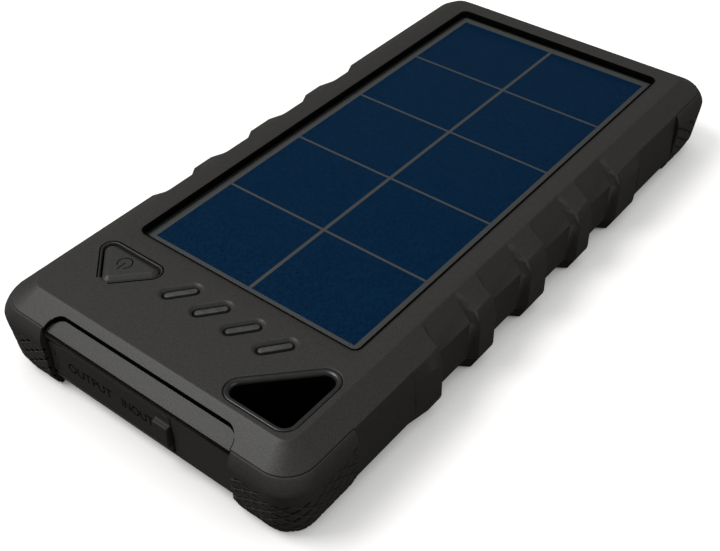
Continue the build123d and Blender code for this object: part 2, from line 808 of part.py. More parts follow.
def charge_leds():
    """One small LED under each light guide."""
    return [Pos(x, y, board_top_z + led_height / 2) * Rot(0, 0, light_slant)
            * Box(led_length, led_width, led_height) for x, y in light_spots]


# ================================================================ circuit board
def main_board():
    """Circuit board, shaped around the front posts and the eyelet."""
    notch_x = front_post_x - case_post_diameter / 2 - board_edge_gap
    notch_y = -cavity_half_length + 2 * post_inset + board_edge_gap
    left_notch_x = -cavity_half_width + 2 * post_inset + board_edge_gap
    eyelet_gap = board_edge_gap / math.sin(math.radians(eyelet_slant))
    slant_top_y = eyelet_front + (board_right_x + eyelet_gap - eyelet_left) * eyelet_slope
    points = [(board_left_x, board_rear_y), (board_left_x, notch_y), (left_notch_x, notch_y),
              (left_notch_x, board_front_y), (notch_x, board_front_y), (notch_x, notch_y),
              (slant_x(notch_y) - eyelet_gap, notch_y), (board_right_x, slant_top_y),
              (board_right_x, board_rear_y)]
    body = prism(make_face(Polyline(*points, close=True)), board_low_z, board_top_z)
    for x, y in board_spots:
        body -= column(x, y, board_low_z - cut_margin, board_top_z + cut_margin,
                       board_screw_diameter + hole_clearance)
    return body


def usb_a_shell():
    """Folded steel shell of the larger socket, under the board."""
    x0 = usb_a_x - usb_a_width / 2
    x1 = usb_a_x + usb_a_width / 2
    z0 = board_low_z - usb_a_height
    y1 = socket_mouth_y + usb_a_depth
    body = block(x0, x1, socket_mouth_y, y1, z0, board_low_z)
    return body - block(x0 + socket_wall, x1 - socket_wall, socket_mouth_y - cut_margin,
                        y1 + cut_margin, z0 + socket_wall, board_low_z - socket_wall)


def usb_a_insert():
    """Plastic insert of the larger socket with its contact tongue."""
    x0 = usb_a_x - usb_a_width / 2 + socket_wall
    x1 = usb_a_x + usb_a_width / 2 - socket_wall
    z0 = board_low_z - usb_a_height + socket_wall
    y1 = socket_mouth_y + usb_a_depth
    back = block(x0, x1, y1 - usb_a_insert_depth, y1, z0, board_low_z - socket_wall)
    half = usb_a_tongue_width / 2
    return back + block(usb_a_x - half, usb_a_x + half, socket_mouth_y + usb_a_tongue_setback,
                        y1 - usb_a_insert_depth, usb_a_tongue_z(), usb_a_tongue_z() + usb_a_tongue_height)


def usb_a_tongue_z():
    """Lower face of the larger socket's tongue."""
    return board_low_z - usb_a_height + socket_wall + usb_a_tongue_height / 2


def usb_a_contact_strips():
    """Gold contact strips on the tongue."""
    z0 = usb_a_tongue_z() + usb_a_tongue_height
    strips = []
    for index in range(usb_a_contacts):
        x = usb_a_x + (index - (usb_a_contacts - 1) / 2) * usb_a_contact_pitch
        strips.append(block(x - usb_a_contact_width / 2, x + usb_a_contact_width / 2,
                            socket_mouth_y + usb_a_tongue_setback + cut_margin,
                            socket_mouth_y + usb_a_depth - usb_a_insert_depth, z0,
                            z0 + contact_thickness))
    return strips


def usb_c_plane(y):
    """Upright plane across the smaller socket's axis, facing the rear."""
    origin = (usb_c_x, y, board_low_z - usb_c_height / 2)
    return Plane(origin=origin, x_dir=(1, 0, 0), z_dir=(0, 1, 0))


def usb_c_outline(inset):
    """Oval outline of the smaller socket, facing the front."""
    return usb_c_plane(socket_mouth_y) * SlotOverall(usb_c_width - 2 * inset, usb_c_height - 2 * inset)


def usb_c_shell():
    """Drawn steel shell of the smaller socket."""
    return extrude(usb_c_outline(0), usb_c_depth) - extrude(usb_c_outline(socket_wall), usb_c_depth)


def usb_c_insert():
    """Plastic insert of the smaller socket with its centre tongue."""
    y1 = socket_mouth_y + usb_c_depth
    back = extrude(usb_c_outline(socket_wall), usb_c_depth)
    back &= block(usb_c_x - usb_c_width, usb_c_x + usb_c_width, y1 - usb_c_insert_depth, y1,
                  board_low_z - usb_c_height, board_low_z)
    mid_z = board_low_z - usb_c_height / 2
    half = usb_c_tongue_width / 2
    tongue = block(usb_c_x - half, usb_c_x + half, socket_mouth_y + usb_c_tongue_setback,
                   y1 - usb_c_insert_depth, mid_z - usb_c_tongue_height / 2,
                   mid_z + usb_c_tongue_height / 2)
    return back + tongue


# ================================================================ board components
def under_board(x, setback, size_x, size_y, height):
    """Box hung under the board, placed from the board's front edge."""
    y = board_front_y + setback
    return block(x - size_x / 2, x + size_x / 2, y - size_y / 2, y + size_y / 2,
                 board_low_z - height, board_low_z)


def control_chips():
    """Charge, boost and protection chips."""
    return [under_board(x, setback, chip_size, chip_size, chip_height) for x, setback in chip_spots]


def power_inductor():
    """Moulded power inductor with chamfered corners."""
    body = under_board(*coil_spot, coil_size, coil_size, coil_height)
    return chamfer(body.edges().filter_by(Axis.Z), (coil_size - coil_bobbin) / 2)


def filter_capacitors():
    """Two round polymer capacitors."""
    return [column(x, board_front_y + setback, board_low_z - can_height, board_low_z, can_diameter)
            for x, setback in can_spots]


def chip_capacitors():
    """Row of small ceramic capacitors."""
    x0, setback = chip_cap_start
    return [under_board(x0 + chip_cap_pitch * i, setback, *chip_cap_size) for i in range(chip_cap_count)]


def hex_screw(x, y, z_head, diameter, length, head, head_height):
    """Socket screw whose shank runs up from the head's seat."""
    shank = column(x, y, z_head, z_head + length, diameter)
    cap = column(x, y, z_head - head_height, z_head, head)
    socket = RegularPolygon(screw_socket_width / 2, 6)
    return shank + cap - (Pos(x, y, 0) * prism(socket, z_head - head_height - cut_margin,
                                               z_head - head_height + screw_socket_depth))


def case_screws():
    """Six screws that close the housing from below."""
    seat = floor_z + case_head_recess
    return [hex_screw(x, y, seat, case_screw_diameter, case_screw_length, case_screw_head,
                      case_screw_head_height) for x, y in case_spots]


def board_screws():
    """Four screws that hold the board up against its posts."""
    return [hex_screw(x, y, board_low_z, board_screw_diameter, board_screw_length,
                      board_screw_head, board_screw_head_height) for x, y in board_spots]


# ================================================================ port cover
def port_cover():
    """Rubber cover over both sockets, with bungs, pull tab and its halves of the straps."""
    front = Plane(origin=((cover_left + cover_right) / 2, front_wall_y, (cover_z0 + cover_z1) / 2),
                  x_dir=(1, 0, 0), z_dir=(0, -1, 0))
    plate = RectangleRounded(cover_right - cover_left, cover_height, cover_radius)
    body = extrude(front * plate, -cover_thickness)
    tab_z = cover_z0 + cover_tab_low
    tab = block(cover_right - cover_tab_width, cover_right, front_wall_y - cover_tab_stand,
                front_wall_y + cover_thickness / 2, tab_z, tab_z + cover_tab_height)
    body += fillet(tab.edges().filter_by(Axis.Z), cover_tab_radius)
    for low in strap_lows:
        body += block(hinge_x + running_gap / 2, cover_left + cover_radius, front_wall_y,
                      front_wall_y + strap_thickness, cover_z0 + low, cover_z0 + low + strap_height)
    return body + bungs()


def bungs():
    """The two plugs on the cover's back that enter the sockets."""
    y0 = front_wall_y + cover_thickness - fit_gap
    y1 = socket_mouth_y + bung_depth
    inset = socket_wall + running_gap
    a_bung = block(usb_a_x - usb_a_width / 2 + inset, usb_a_x + usb_a_width / 2 - inset, y0, y1,
                   board_low_z - usb_a_height + inset, board_low_z - inset)
    c_outline = SlotOverall(usb_c_width - 2 * inset, usb_c_height - 2 * inset)
    return a_bung + extrude(usb_c_plane(y0) * c_outline, y1 - y0)


def cover_anchor():
    """Fixed end of the cover's straps, pressed into a slot in the front wall."""
    z0 = cover_z0 + anchor_low
    body = block(anchor_x0, anchor_x0 + anchor_width, front_wall_y, recess_floor_y + anchor_root,
                 z0, z0 + anchor_height)
    for low in strap_lows:
        body += block(anchor_x0, hinge_x - running_gap / 2, front_wall_y,
                      front_wall_y + strap_thickness, cover_z0 + low, cover_z0 + low + strap_height)
    return body


# ================================================================ battery
def pouch_cell(z0):
    """One flat lithium-polymer pouch."""
    centre_y = (pouch_y0 + pouch_y1) / 2
    return slab(pouch_half_width, (pouch_y1 - pouch_y0) / 2, z0, z0 + pouch_thickness, pouch_radius,
                centre_y)


def foam_pads():
    """Foam strips under and over the battery."""
    pads = []
    levels = ((inner_floor_z, pouch_z0), (pouch_mid_z + pouch_thickness, pocket_under_z))
    for z0, z1 in levels:
        for y in (pouch_y0 + pad_inset, pouch_y1 - pad_inset - pad_length):
            pads.append(block(-pouch_half_width + pad_inset, pouch_half_width - pad_inset,
                              y, y + pad_length, z0, z1))
    return pads


def cell_bond_sheet():
    """Double-sided sheet between the two pouches."""
    return block(-pouch_half_width + pad_inset, pouch_half_width - pad_inset, pouch_y0 + pad_inset,
                 pouch_y1 - pad_inset, pouch_z0 + pouch_thickness, pouch_mid_z)


def protection_board():
    """Narrow board across the battery's front end."""
    half = protection_length / 2
    return block(-half, half, protection_y - protection_thickness, protection_y,
                 protection_z0, protection_z1)


def cell_tabs():
    """Nickel tabs from each pouch to the protection board."""
    tabs = []
    for z in (pouch_z0 + pouch_thickness / 2 + protection_thickness,
              pouch_mid_z + pouch_thickness / 2 - protection_thickness):
        for x in cell_tab_x:
            tabs.append(block(x - cell_tab_width / 2, x + cell_tab_width / 2, protection_y, pouch_y0,
                              z, z + cell_tab_thickness))
    return tabs


def battery_leads():
    """Two wires from the protection board to the underside of the circuit board."""
    y0 = protection_y - protection_thickness
    z = board_low_z - battery_wire_radius
    end_y = board_rear_y - post_inset
    return [wire([(x, y0, z), (x, end_y, z)], battery_wire_radius) for x in battery_wire_x]


# ================================================================ build
def main():
    """Write every piece to parts/."""
    os.makedirs("parts", exist_ok=True)
    save("upper_housing", upper_housing())
    save("lower_housing", lower_housing())
    for name, piece in bumpers():
        save(name, piece)
    save("housing_seal", seal_ring(0))
    save("lanyard_eyelet", eyelet())
    save("solar_tape", solar_tape())
    save("solar_substrate", panel_plate(substrate_low_z, resin_low_z))
    save("solar_cells", *cell_solids())
    save("solar_resin", solar_resin())
    save("solar_leads", *solar_leads())
    save("power_button", power_button())
    save("switch_body", switch_body())
    save("switch_plunger", switch_plunger())
    save("light_guides", *light_guides())
    save("charge_leds", *charge_leds())
    save("main_board", main_board())
    save("usb_a_shell", usb_a_shell())
    save("usb_a_insert", usb_a_insert())
    save("usb_a_contacts", *usb_a_contact_strips())
    save("usb_c_shell", usb_c_shell())
    save("usb_c_insert", usb_c_insert())
    save("control_chips", *control_chips())
    save("power_inductor", power_inductor())
    save("filter_capacitors", *filter_capacitors())
    save("chip_capacitors", *chip_capacitors())
    save("board_screws", *board_screws())
    save("case_screws", *case_screws())
    save("port_cover", port_cover())
    save("cover_anchor", cover_anchor())
    save("battery_lower", pouch_cell(pouch_z0))
    save("battery_upper", pouch_cell(pouch_mid_z))
    save("cell_bond", cell_bond_sheet())
    save("foam_pads", *foam_pads())
    save("protection_board", protection_board())
    save("cell_tabs", *cell_tabs())
    save("battery_leads", *battery_leads())


main()
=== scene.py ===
"""Visual model of a rugged solar phone charger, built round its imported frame."""

import logging
import math
from collections.abc import Callable
from dataclasses import dataclass
from enum import Enum

import bmesh
import bpy
import numpy as np
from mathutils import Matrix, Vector

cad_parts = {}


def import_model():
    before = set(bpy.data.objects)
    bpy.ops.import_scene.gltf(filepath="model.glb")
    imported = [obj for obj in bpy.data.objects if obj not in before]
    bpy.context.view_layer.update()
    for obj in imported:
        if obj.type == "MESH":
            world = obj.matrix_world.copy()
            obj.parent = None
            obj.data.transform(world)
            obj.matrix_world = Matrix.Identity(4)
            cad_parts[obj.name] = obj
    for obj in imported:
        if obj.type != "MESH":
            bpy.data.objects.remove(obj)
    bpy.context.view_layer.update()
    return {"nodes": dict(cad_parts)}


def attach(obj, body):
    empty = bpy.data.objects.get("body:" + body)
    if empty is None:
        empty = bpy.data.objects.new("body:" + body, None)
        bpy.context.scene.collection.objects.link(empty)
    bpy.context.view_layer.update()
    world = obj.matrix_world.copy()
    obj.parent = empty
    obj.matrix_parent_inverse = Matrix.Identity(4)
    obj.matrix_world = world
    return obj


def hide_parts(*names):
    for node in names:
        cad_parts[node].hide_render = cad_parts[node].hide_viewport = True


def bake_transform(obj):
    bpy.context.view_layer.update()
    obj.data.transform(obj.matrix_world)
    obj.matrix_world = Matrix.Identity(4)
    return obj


LOG = logging.getLogger("solar_charger")
MM = 0.001
FLAT_DEG = 0.6          # facets that turn by less than this are one flat face
CREASE_DEG = 26.0       # edges that turn by more than this get rounded
CURVE_DEG = 14.0        # facets of a curved face turn by less than this
SHORT_EDGE_MM = 0.02    # edges shorter than this stay as they are
NODE_MERGE_MM = 0.004   # points of a node's mesh closer than this are one
PIECE_MERGE_MM = 0.002  # and the same for a made piece
ARC_POINTS = 19         # points on a corner of the lanyard hole
TUBE_CREASE_DEG = 50.0  # edges of its lining that turn by more stay crisp
BRUSHED_ALONG = 0.02    # how much slower a brushed grain changes along its stroke

HOUSING = "housing"
BUTTON = "power_button"
COVER = "port_cover"


class Pattern(Enum):
    """How a finish varies over its surface."""

    SPARK = "spark-eroded grain"
    SMOOTH = "faint moulding cloud"
    BRUSHED = "drawn along one direction"
    WEAVE = "woven glass under a coat"
    CRYSTAL = "fine silicon crystals"


# ---------------------------------------------------------------- finishes
def linear(hex_colour: str) -> tuple[float, float, float, float]:
    """Turn an sRGB hex colour into linear red, green, blue and alpha.

    Args:
        hex_colour: six hex digits, such as "3A3A38".

    Returns:
        Four linear values; each is ((c + 0.055) / 1.055) to the power 2.4, or c / 12.92 near black.
    """
    srgb = [int(hex_colour[i:i + 2], 16) / 255 for i in (0, 2, 4)]
    parts = [c / 12.92 if c <= 0.04045 else ((c + 0.055) / 1.055) ** 2.4 for c in srgb]
    return (parts[0], parts[1], parts[2], 1.0)


def add_node(tree: bpy.types.NodeTree, kind: str, settings: dict | None = None,
             values: dict | None = None, links: dict | None = None) -> bpy.types.Node:
    """Add one shader node with its settings, socket values and incoming links.

    Args:
        tree: node tree that takes the node.
        kind: type name of the node.
        settings: attributes of the node, by name.
        values: default values of its inputs, by socket name or number.
        links: output sockets that feed its inputs, by socket name or number.

    Returns:
        The new node.
    """
    node = tree.nodes.new(kind)
    for name, value in (settings or {}).items():
        setattr(node, name, value)
    for name, value in (values or {}).items():
        node.inputs[name].default_value = value
    for name, source in (links or {}).items():
        tree.links.new(source, node.inputs[name])
    return node


@dataclass(frozen=True)
class Finish:
    """One real material with the way its surface was made.

    The colour runs between two close tones by a noise whose wavelength is grain_mm, and the same
    noise lifts the surface by relief_mm.
    """

    name: str
    dark: str
    light: str
    roughness: float
    pattern: Pattern = Pattern.SPARK
    grain_mm: float = 0.5
    relief_mm: float = 0.02
    metallic: float = 0.0
    alpha: float = 1.0
    specular: float = 0.5

    def material(self) -> bpy.types.Material:
        """Return the material of this finish, made on first use."""
        found = bpy.data.materials.get(self.name)
        if found:
            return found
        made = bpy.data.materials.new(self.name)
        made.use_nodes = True
        tree = made.node_tree
        tree.nodes.clear()
        height = self._height(tree)
        tone = add_node(tree, "ShaderNodeValToRGB", links={"Fac": height})
        tone.color_ramp.elements[0].color = linear(self.dark)
        tone.color_ramp.elements[1].color = linear(self.light)
        tone.color_ramp.elements[0].position = 0.3
        tone.color_ramp.elements[1].position = 0.7
        bump = add_node(tree, "ShaderNodeBump", values={"Strength": 1.0, "Distance": self.relief_mm * MM},
                        links={"Height": height})
        shader = add_node(tree, "ShaderNodeBsdfPrincipled", values={
            "Roughness": self.roughness, "Metallic": self.metallic, "Alpha": self.alpha,
            "Specular IOR Level": self.specular},
            links={"Base Color": tone.outputs["Color"], "Normal": bump.outputs["Normal"]})
        add_node(tree, "ShaderNodeOutputMaterial", links={"Surface": shader.outputs["BSDF"]})
        return made

    def _height(self, tree: bpy.types.NodeTree) -> bpy.types.NodeSocket:
        """Add the pattern on Object coordinates and return its height socket.

        Args:
            tree: node tree of the material.

        Returns:
            A value from 0 to 1 that repeats about once in grain_mm.
        """
        place = add_node(tree, "ShaderNodeTexCoord")
        per_metre = 1.0 / (self.grain_mm * MM)
        along = BRUSHED_ALONG if self.pattern is Pattern.BRUSHED else 1.0
        mapped = add_node(tree, "ShaderNodeMapping", links={"Vector": place.outputs["Object"]},
                          values={"Scale": (per_metre * along, per_metre, per_metre)})
        if self.pattern is Pattern.WEAVE:
            wave = add_node(tree, "ShaderNodeTexWave",
                            {"wave_type": "BANDS", "bands_direction": "DIAGONAL"},
                            {"Scale": 0.5, "Distortion": 0.4}, {"Vector": mapped.outputs["Vector"]})
            return wave.outputs["Fac"]
        if self.pattern is Pattern.CRYSTAL:
            cell = add_node(tree, "ShaderNodeTexVoronoi", {"feature": "F1"}, {"Scale": 1.0},
                            {"Vector": mapped.outputs["Vector"]})
            return cell.outputs["Distance"]
        detail = 3.0 if self.pattern is Pattern.SPARK else 1.0
        noise = add_node(tree, "ShaderNodeTexNoise", links={"Vector": mapped.outputs["Vector"]},
                         values={"Scale": 1.0, "Detail": detail, "Roughness": 0.6})
        return noise.outputs["Fac"]


# ABS with a spark-eroded mould texture: an even matt charcoal whose fine grain breaks up highlights
DECK_ABS = Finish("spark_textured_abs", "2B2A28", "393835", 0.48, grain_mm=0.36, relief_mm=0.035,
                  specular=0.3)
BASE_ABS = Finish("spark_textured_abs_base", "2E2C29", "373532", 0.5, grain_mm=0.42, relief_mm=0.03,
                  specular=0.2)
# thermoplastic elastomer, soft-touch: flatter than the plastic beside it
SOFT_TPE = Finish("soft_touch_elastomer", "333130", "3B3938", 0.6, grain_mm=0.6, relief_mm=0.012,
                  specular=0.2)
COVER_TPE = Finish("moulded_cover_elastomer", "2E2C2A", "363432", 0.58, grain_mm=0.6, relief_mm=0.012,
                   specular=0.2)
SEAL_SILICONE = Finish("black_silicone", "0A0A0A", "0F0F0F", 0.7, Pattern.SMOOTH, grain_mm=3.0,
                       specular=0.1)
EYELET_ABS = Finish("satin_black_abs", "1E1E1D", "262625", 0.36, Pattern.SMOOTH, grain_mm=2.5,
                    relief_mm=0.01)
BUTTON_ABS = Finish("spark_textured_button", "2C2C2B", "363634", 0.46, grain_mm=0.42, relief_mm=0.02,
                    specular=0.35)
# plain black laid as painted shade: down the lanyard hole, at the foot of the front step, round the
# panel's opening and round the button's slit
PAINTED_SHADE_BLACK = Finish("painted_shade_black", "040303", "060505", 0.9, Pattern.SMOOTH, grain_mm=2.0,
                    specular=0.02)
# black laid as painted shade in the sunk words, the power sign and the tread's grooves
ENGRAVING_SHADE = Finish("painted_engraving_shade", "060606", "0B0B0B", 0.8, Pattern.SMOOTH, grain_mm=1.0,
                  specular=0.05)
# monocrystalline silicon behind blue nitride: deep even blue
SILICON = Finish("nitride_coated_silicon", "01213B", "032744", 0.5, Pattern.CRYSTAL, grain_mm=0.9,
                 relief_mm=0.0, specular=0.05)
PANEL_SHEET = Finish("grey_masked_glass_fibre", "464848", "525454", 0.6, Pattern.WEAVE, grain_mm=0.5,
                     relief_mm=0.01, specular=0.1)
CLEAR_RESIN = Finish("clear_casting_resin", "030C14", "05121C", 0.2, Pattern.SMOOTH, 6.0, 0.002,
                     alpha=0.05, specular=0.3)
SMOKE_PC = Finish("smoked_polycarbonate", "3E3E3C", "4A4A47", 0.4, Pattern.SMOOTH, grain_mm=1.5,
                  relief_mm=0.004, specular=0.35)
LED_BODY = Finish("white_led_moulding", "C9C6B4", "DAD7C6", 0.4, Pattern.SMOOTH, grain_mm=0.6)
SOLDER_MASK = Finish("green_solder_mask", "0A3A1C", "0E4A24", 0.35, Pattern.WEAVE, grain_mm=0.5,
                     relief_mm=0.008)
NICKEL = Finish("nickel_plated_steel", "A9A9A6", "BDBDBA", 0.28, Pattern.BRUSHED, grain_mm=0.25,
                metallic=1.0)
GOLD = Finish("gold_flash", "B08A3A", "C99F48", 0.25, Pattern.BRUSHED, grain_mm=0.2, metallic=1.0)
NYLON = Finish("black_nylon", "0E0E0E", "151515", 0.5, grain_mm=0.4)
EPOXY = Finish("moulded_epoxy", "111112", "191919", 0.6, grain_mm=0.3)
FERRITE = Finish("pressed_ferrite", "2C2D2E", "383939", 0.7, grain_mm=0.35)
ALUMINIUM = Finish("drawn_aluminium", "9C9EA0", "B4B6B8", 0.3, Pattern.BRUSHED, grain_mm=0.3,
                   metallic=1.0)
CERAMIC = Finish("fired_ceramic", "6E5238", "836446", 0.5, grain_mm=0.3)
BLACK_STEEL = Finish("blackened_steel", "19191A", "242425", 0.4, Pattern.BRUSHED, grain_mm=0.25,
                     metallic=1.0)
ZINC_STEEL = Finish("zinc_plated_steel", "8F9396", "A6AAAD", 0.33, Pattern.BRUSHED, grain_mm=0.25,
                    metallic=1.0)
POUCH_FOIL = Finish("laminated_pouch_foil", "A3A5A8", "B7B9BC", 0.36, Pattern.SMOOTH, grain_mm=4.0,
                    metallic=0.8)
ACRYLIC_TAPE = Finish("acrylic_foam_tape", "1A1A1A", "232323", 0.8, grain_mm=0.5)
OPEN_FOAM = Finish("open_cell_foam", "303033", "404044", 0.9, Pattern.CRYSTAL, grain_mm=0.6,
                   relief_mm=0.1)
RED_SILICONE = Finish("red_silicone_wire", "7A1010", "8E1515", 0.5, Pattern.SMOOTH, grain_mm=2.0)

NODE_FINISHES: dict[str, Finish] = {
    "upper_housing": DECK_ABS, "lower_housing": BASE_ABS, "housing_seal": SEAL_SILICONE,
    "bumper_front_left": SOFT_TPE, "bumper_front_right": SOFT_TPE, "bumper_rear_left": SOFT_TPE,
    "bumper_rear_right": SOFT_TPE, "lanyard_eyelet": EYELET_ABS, "solar_tape": ACRYLIC_TAPE,
    "solar_substrate": PANEL_SHEET, "solar_cells": SILICON, "solar_resin": CLEAR_RESIN,
    "solar_leads": RED_SILICONE, "power_button": BUTTON_ABS, "switch_body": NYLON,
    "switch_plunger": NYLON, "light_guides": SEAL_SILICONE, "charge_leds": LED_BODY,
    "main_board": SOLDER_MASK, "usb_a_shell": NICKEL, "usb_a_insert": NYLON, "usb_a_contacts": GOLD,
    "usb_c_shell": NICKEL, "usb_c_insert": NYLON, "control_chips": EPOXY, "power_inductor": FERRITE,
    "filter_capacitors": ALUMINIUM, "chip_capacitors": CERAMIC, "board_screws": ZINC_STEEL,
    "case_screws": BLACK_STEEL, "port_cover": COVER_TPE, "cover_anchor": COVER_TPE,
    "battery_lower": POUCH_FOIL, "battery_upper": POUCH_FOIL, "cell_bond": ACRYLIC_TAPE,
    "foam_pads": OPEN_FOAM, "protection_board": SOLDER_MASK, "cell_tabs": NICKEL,
    "battery_leads": RED_SILICONE,
}


# ---------------------------------------------------------------- mesh helpers
def grid_faces(rows: int, columns: int, closed: bool) -> list[list[int]]:
    """Quads of a grid of points, row by row.

    Args:
        rows: number of rows of points.
        columns: points in a row.
        closed: True where the last column joins the first.

    Returns:
        One line of four point numbers for each quad.
    """
    wrap = columns if closed else columns - 1
    r, c = np.meshgrid(np.arange(rows - 1), np.arange(wrap), indexing="ij")
    after = (c + 1) % columns
    quads = [r * columns + c, r * columns + after, (r + 1) * columns + after, (r + 1) * columns + c]
    return np.stack(quads, axis=-1).reshape(-1, 4).tolist()


def make_piece(name: str, points: np.ndarray, faces: list, finish: Finish, body: str,
               sharp_deg: float = 35.0) -> bpy.types.Object:
    """Put points in millimetres and faces into a new piece that rides on a body.

    Args:
        name: piece name.
        points: one row of three coordinates for each point.
        faces: point numbers of each face.
        finish: finish of the whole piece.
        body: body that the piece rides on.
        sharp_deg: edges that turn by more than this stay crisp.

    Returns:
        The new object.
    """
    mesh = bpy.data.meshes.new(name)
    mesh.from_pydata((np.asarray(points) * MM).tolist(), [], faces)
    work = bmesh.new()
    work.from_mesh(mesh)
    bmesh.ops.remove_doubles(work, verts=work.verts, dist=PIECE_MERGE_MM * MM)
    bmesh.ops.recalc_face_normals(work, faces=work.faces)
    work.to_mesh(mesh)
    work.free()
    return place_mesh(name, mesh, finish, body, sharp_deg)


def place_mesh(name: str, mesh: bpy.types.Mesh, finish: Finish, body: str,
               sharp_deg: float | None = 35.0) -> bpy.types.Object:
    """Make an object of a finished mesh, shade it, give it its finish and let it ride.

    Args:
        name: piece name.
        mesh: finished mesh with its place in its points.
        finish: finish of the whole piece.
        body: body that the piece rides on.
        sharp_deg: edges that turn by more than this stay crisp; None keeps the mesh's normals.

    Returns:
        The new object.
    """
    mesh.materials.clear()
    mesh.materials.append(finish.material())
    if sharp_deg is not None:
        mesh.polygons.foreach_set("use_smooth", np.ones(len(mesh.polygons), bool))
        mesh.set_sharp_from_angle(angle=math.radians(sharp_deg))
    piece = bpy.data.objects.new(name, mesh)
    bpy.context.scene.collection.objects.link(piece)
    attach(piece, body)
    return piece


def softened(node: str, name: str, finish: Finish, body: str, width_mm: float,
             outer: Callable[[np.ndarray], np.ndarray] | None = None) -> bpy.types.Object:
    """Copy a node's mesh, merge it and round its edges as a moulding tool does.

    Args:
        node: node that the piece stands for.
        name: piece name.
        finish: finish of the piece.
        body: body that it rides on.
        width_mm: width of the rounding.
        outer: says of places in millimetres whether they are seen from outside; only edges there
            are rounded. Without it every edge is.

    Returns:
        The new object, which replaces the node.
    """
    work = bmesh.new()
    work.from_mesh(bpy.data.objects[node].data)
    bmesh.ops.remove_doubles(work, verts=work.verts, dist=NODE_MERGE_MM * MM)
    bmesh.ops.dissolve_limit(work, angle_limit=math.radians(FLAT_DEG), verts=work.verts, edges=work.edges)
    weight = work.edges.layers.float.new("bevel_weight_edge")
    middles = np.array([(e.verts[0].co + e.verts[1].co) / 2 for e in work.edges]) / MM
    seen = outer(middles) if outer else np.ones(len(middles), bool)
    for edge, shown in zip(work.edges, seen):
        turned = edge.calc_face_angle(0.0) > math.radians(CREASE_DEG)
        edge[weight] = float(turned and shown and edge.calc_length() > SHORT_EDGE_MM * MM)
        edge.smooth = bool(edge[weight]) or edge.calc_face_angle(0.0) < math.radians(CURVE_DEG)
    mesh = bpy.data.meshes.new(name + "_sharp")
    work.to_mesh(mesh)
    work.free()
    mesh.polygons.foreach_set("use_smooth", np.ones(len(mesh.polygons), bool))
    holder = bpy.data.objects.new(name + "_sharp", mesh)
    bpy.context.scene.collection.objects.link(holder)
    bevel = holder.modifiers.new("round", "BEVEL")
    bevel.width = width_mm * MM
    bevel.segments = 2
    bevel.limit_method = "WEIGHT"
    bevel.use_clamp_overlap = False
    even = holder.modifiers.new("even", "WEIGHTED_NORMAL")
    even.weight = 100
    even.keep_sharp = True
    graph = bpy.context.evaluated_depsgraph_get()
    finished = bpy.data.meshes.new_from_object(holder.evaluated_get(graph))
    bpy.data.objects.remove(holder)
    finished.name = name
    piece = place_mesh(name, finished, finish, body, None)
    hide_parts(node)
    return piece


def rounded_outline(corners: np.ndarray, radius: float, arc_points: int = 14,
                    step: float = 1.0) -> tuple[np.ndarray, np.ndarray]:
    """Closed outline with every corner rounded, anticlockwise, and its outward normals.

    Each corner is an arc whose centre is radius / sin(half angle) along the bisector.

    Args:
        corners: corner points, anticlockwise.
        radius: radius of the corners.
        arc_points: points on each arc.
        step: longest distance between points on the straight runs.

    Returns:
        Points and unit normals, as two arrays of the same length.
    """
    points, normals = [], []
    count = len(corners)
    arcs = []
    for i in range(count):
        here, before, after = corners[i], corners[i - 1], corners[(i + 1) % count]
        a = (before - here) / np.linalg.norm(before - here)
        b = (after - here) / np.linalg.norm(after - here)
        half = math.acos(float(np.clip(a @ b, -1, 1))) / 2
        centre = here + (a + b) / np.linalg.norm(a + b) * radius / math.sin(half)
        start = math.atan2(a[0], -a[1])
        turn = math.pi - 2 * half
        angles = start + np.linspace(0, turn, arc_points)
        ring = np.stack([np.cos(angles), np.sin(angles)], axis=1)
        arcs.append((centre + radius * ring, ring))
    for i in range(count):
        arc, ring = arcs[i]
        points.append(arc)
        normals.append(ring)
        target = arcs[(i + 1) % count][0][0]
        gap = np.linalg.norm(target - arc[-1])
        extra = max(0, int(gap / step) - 1)
        if extra:
            t = np.linspace(0, 1, extra + 2)[1:-1, None]
            points.append(arc[-1] * (1 - t) + target * t)
            normals.append(np.repeat(ring[-1:], extra, axis=0))
    return np.concatenate(points), np.concatenate(normals)


def bar_faces(sections: int, count: int) -> list[list[int]]:
    """Faces of a bar skinned over its sections, with both ends closed.

    Args:
        sections: number of sections along the bar.
        count: points in a section.

    Returns:
        Point numbers of each face.
    """
    last = (sections - 1) * count
    ends = [list(range(count)), [last + k for k in reversed(range(count))]]
    return grid_faces(sections, count, True) + ends


def rectangle(half_x: float, half_y: float, centre_y: float) -> np.ndarray:
    """Four corners of an upright rectangle in plan, anticlockwise."""
    return np.array([(-half_x, centre_y - half_y), (half_x, centre_y - half_y),
                     (half_x, centre_y + half_y), (-half_x, centre_y + half_y)])


def carry_profile(outline: tuple[np.ndarray, np.ndarray], profile: np.ndarray) -> np.ndarray:
    """Carry a profile round a closed outline.

    Each profile point is (distance outwards, height), so a surface point is the outline's point
    plus its normal times that distance, at that height.

    Args:
        outline: points and normals of the outline.
        profile: one row of distance and height for each ring.

    Returns:
        Points ring by ring, as rows of x, y, z.
    """
    base, normal = outline
    plan = base[None] + normal[None] * profile[:, None, :1]
    height = np.broadcast_to(profile[:, None, 1:2], plan.shape[:2] + (1,))
    return np.concatenate([plan, height], axis=2).reshape(-1, 3)


def make_tube(name: str, outline: tuple[np.ndarray, np.ndarray], profile: np.ndarray, finish: Finish,
              sharp_deg: float = 35.0) -> bpy.types.Object:
    """Carry a closed profile round a closed outline into a piece of the housing.

    Args:
        name: piece name.
        outline: points and normals of the outline.
        profile: one row of distance and height for each ring; the last ring joins the first.
        finish: finish of the whole piece.
        sharp_deg: edges that turn by more than this stay crisp.

    Returns:
        The new object.
    """
    rings, count = len(profile), len(outline[0])
    last = (rings - 1) * count
    faces = grid_faces(rings, count, True)
    faces += [[last + c, last + (c + 1) % count, (c + 1) % count, c] for c in range(count)]
    return make_piece(name, carry_profile(outline, profile), faces, finish, HOUSING, sharp_deg)


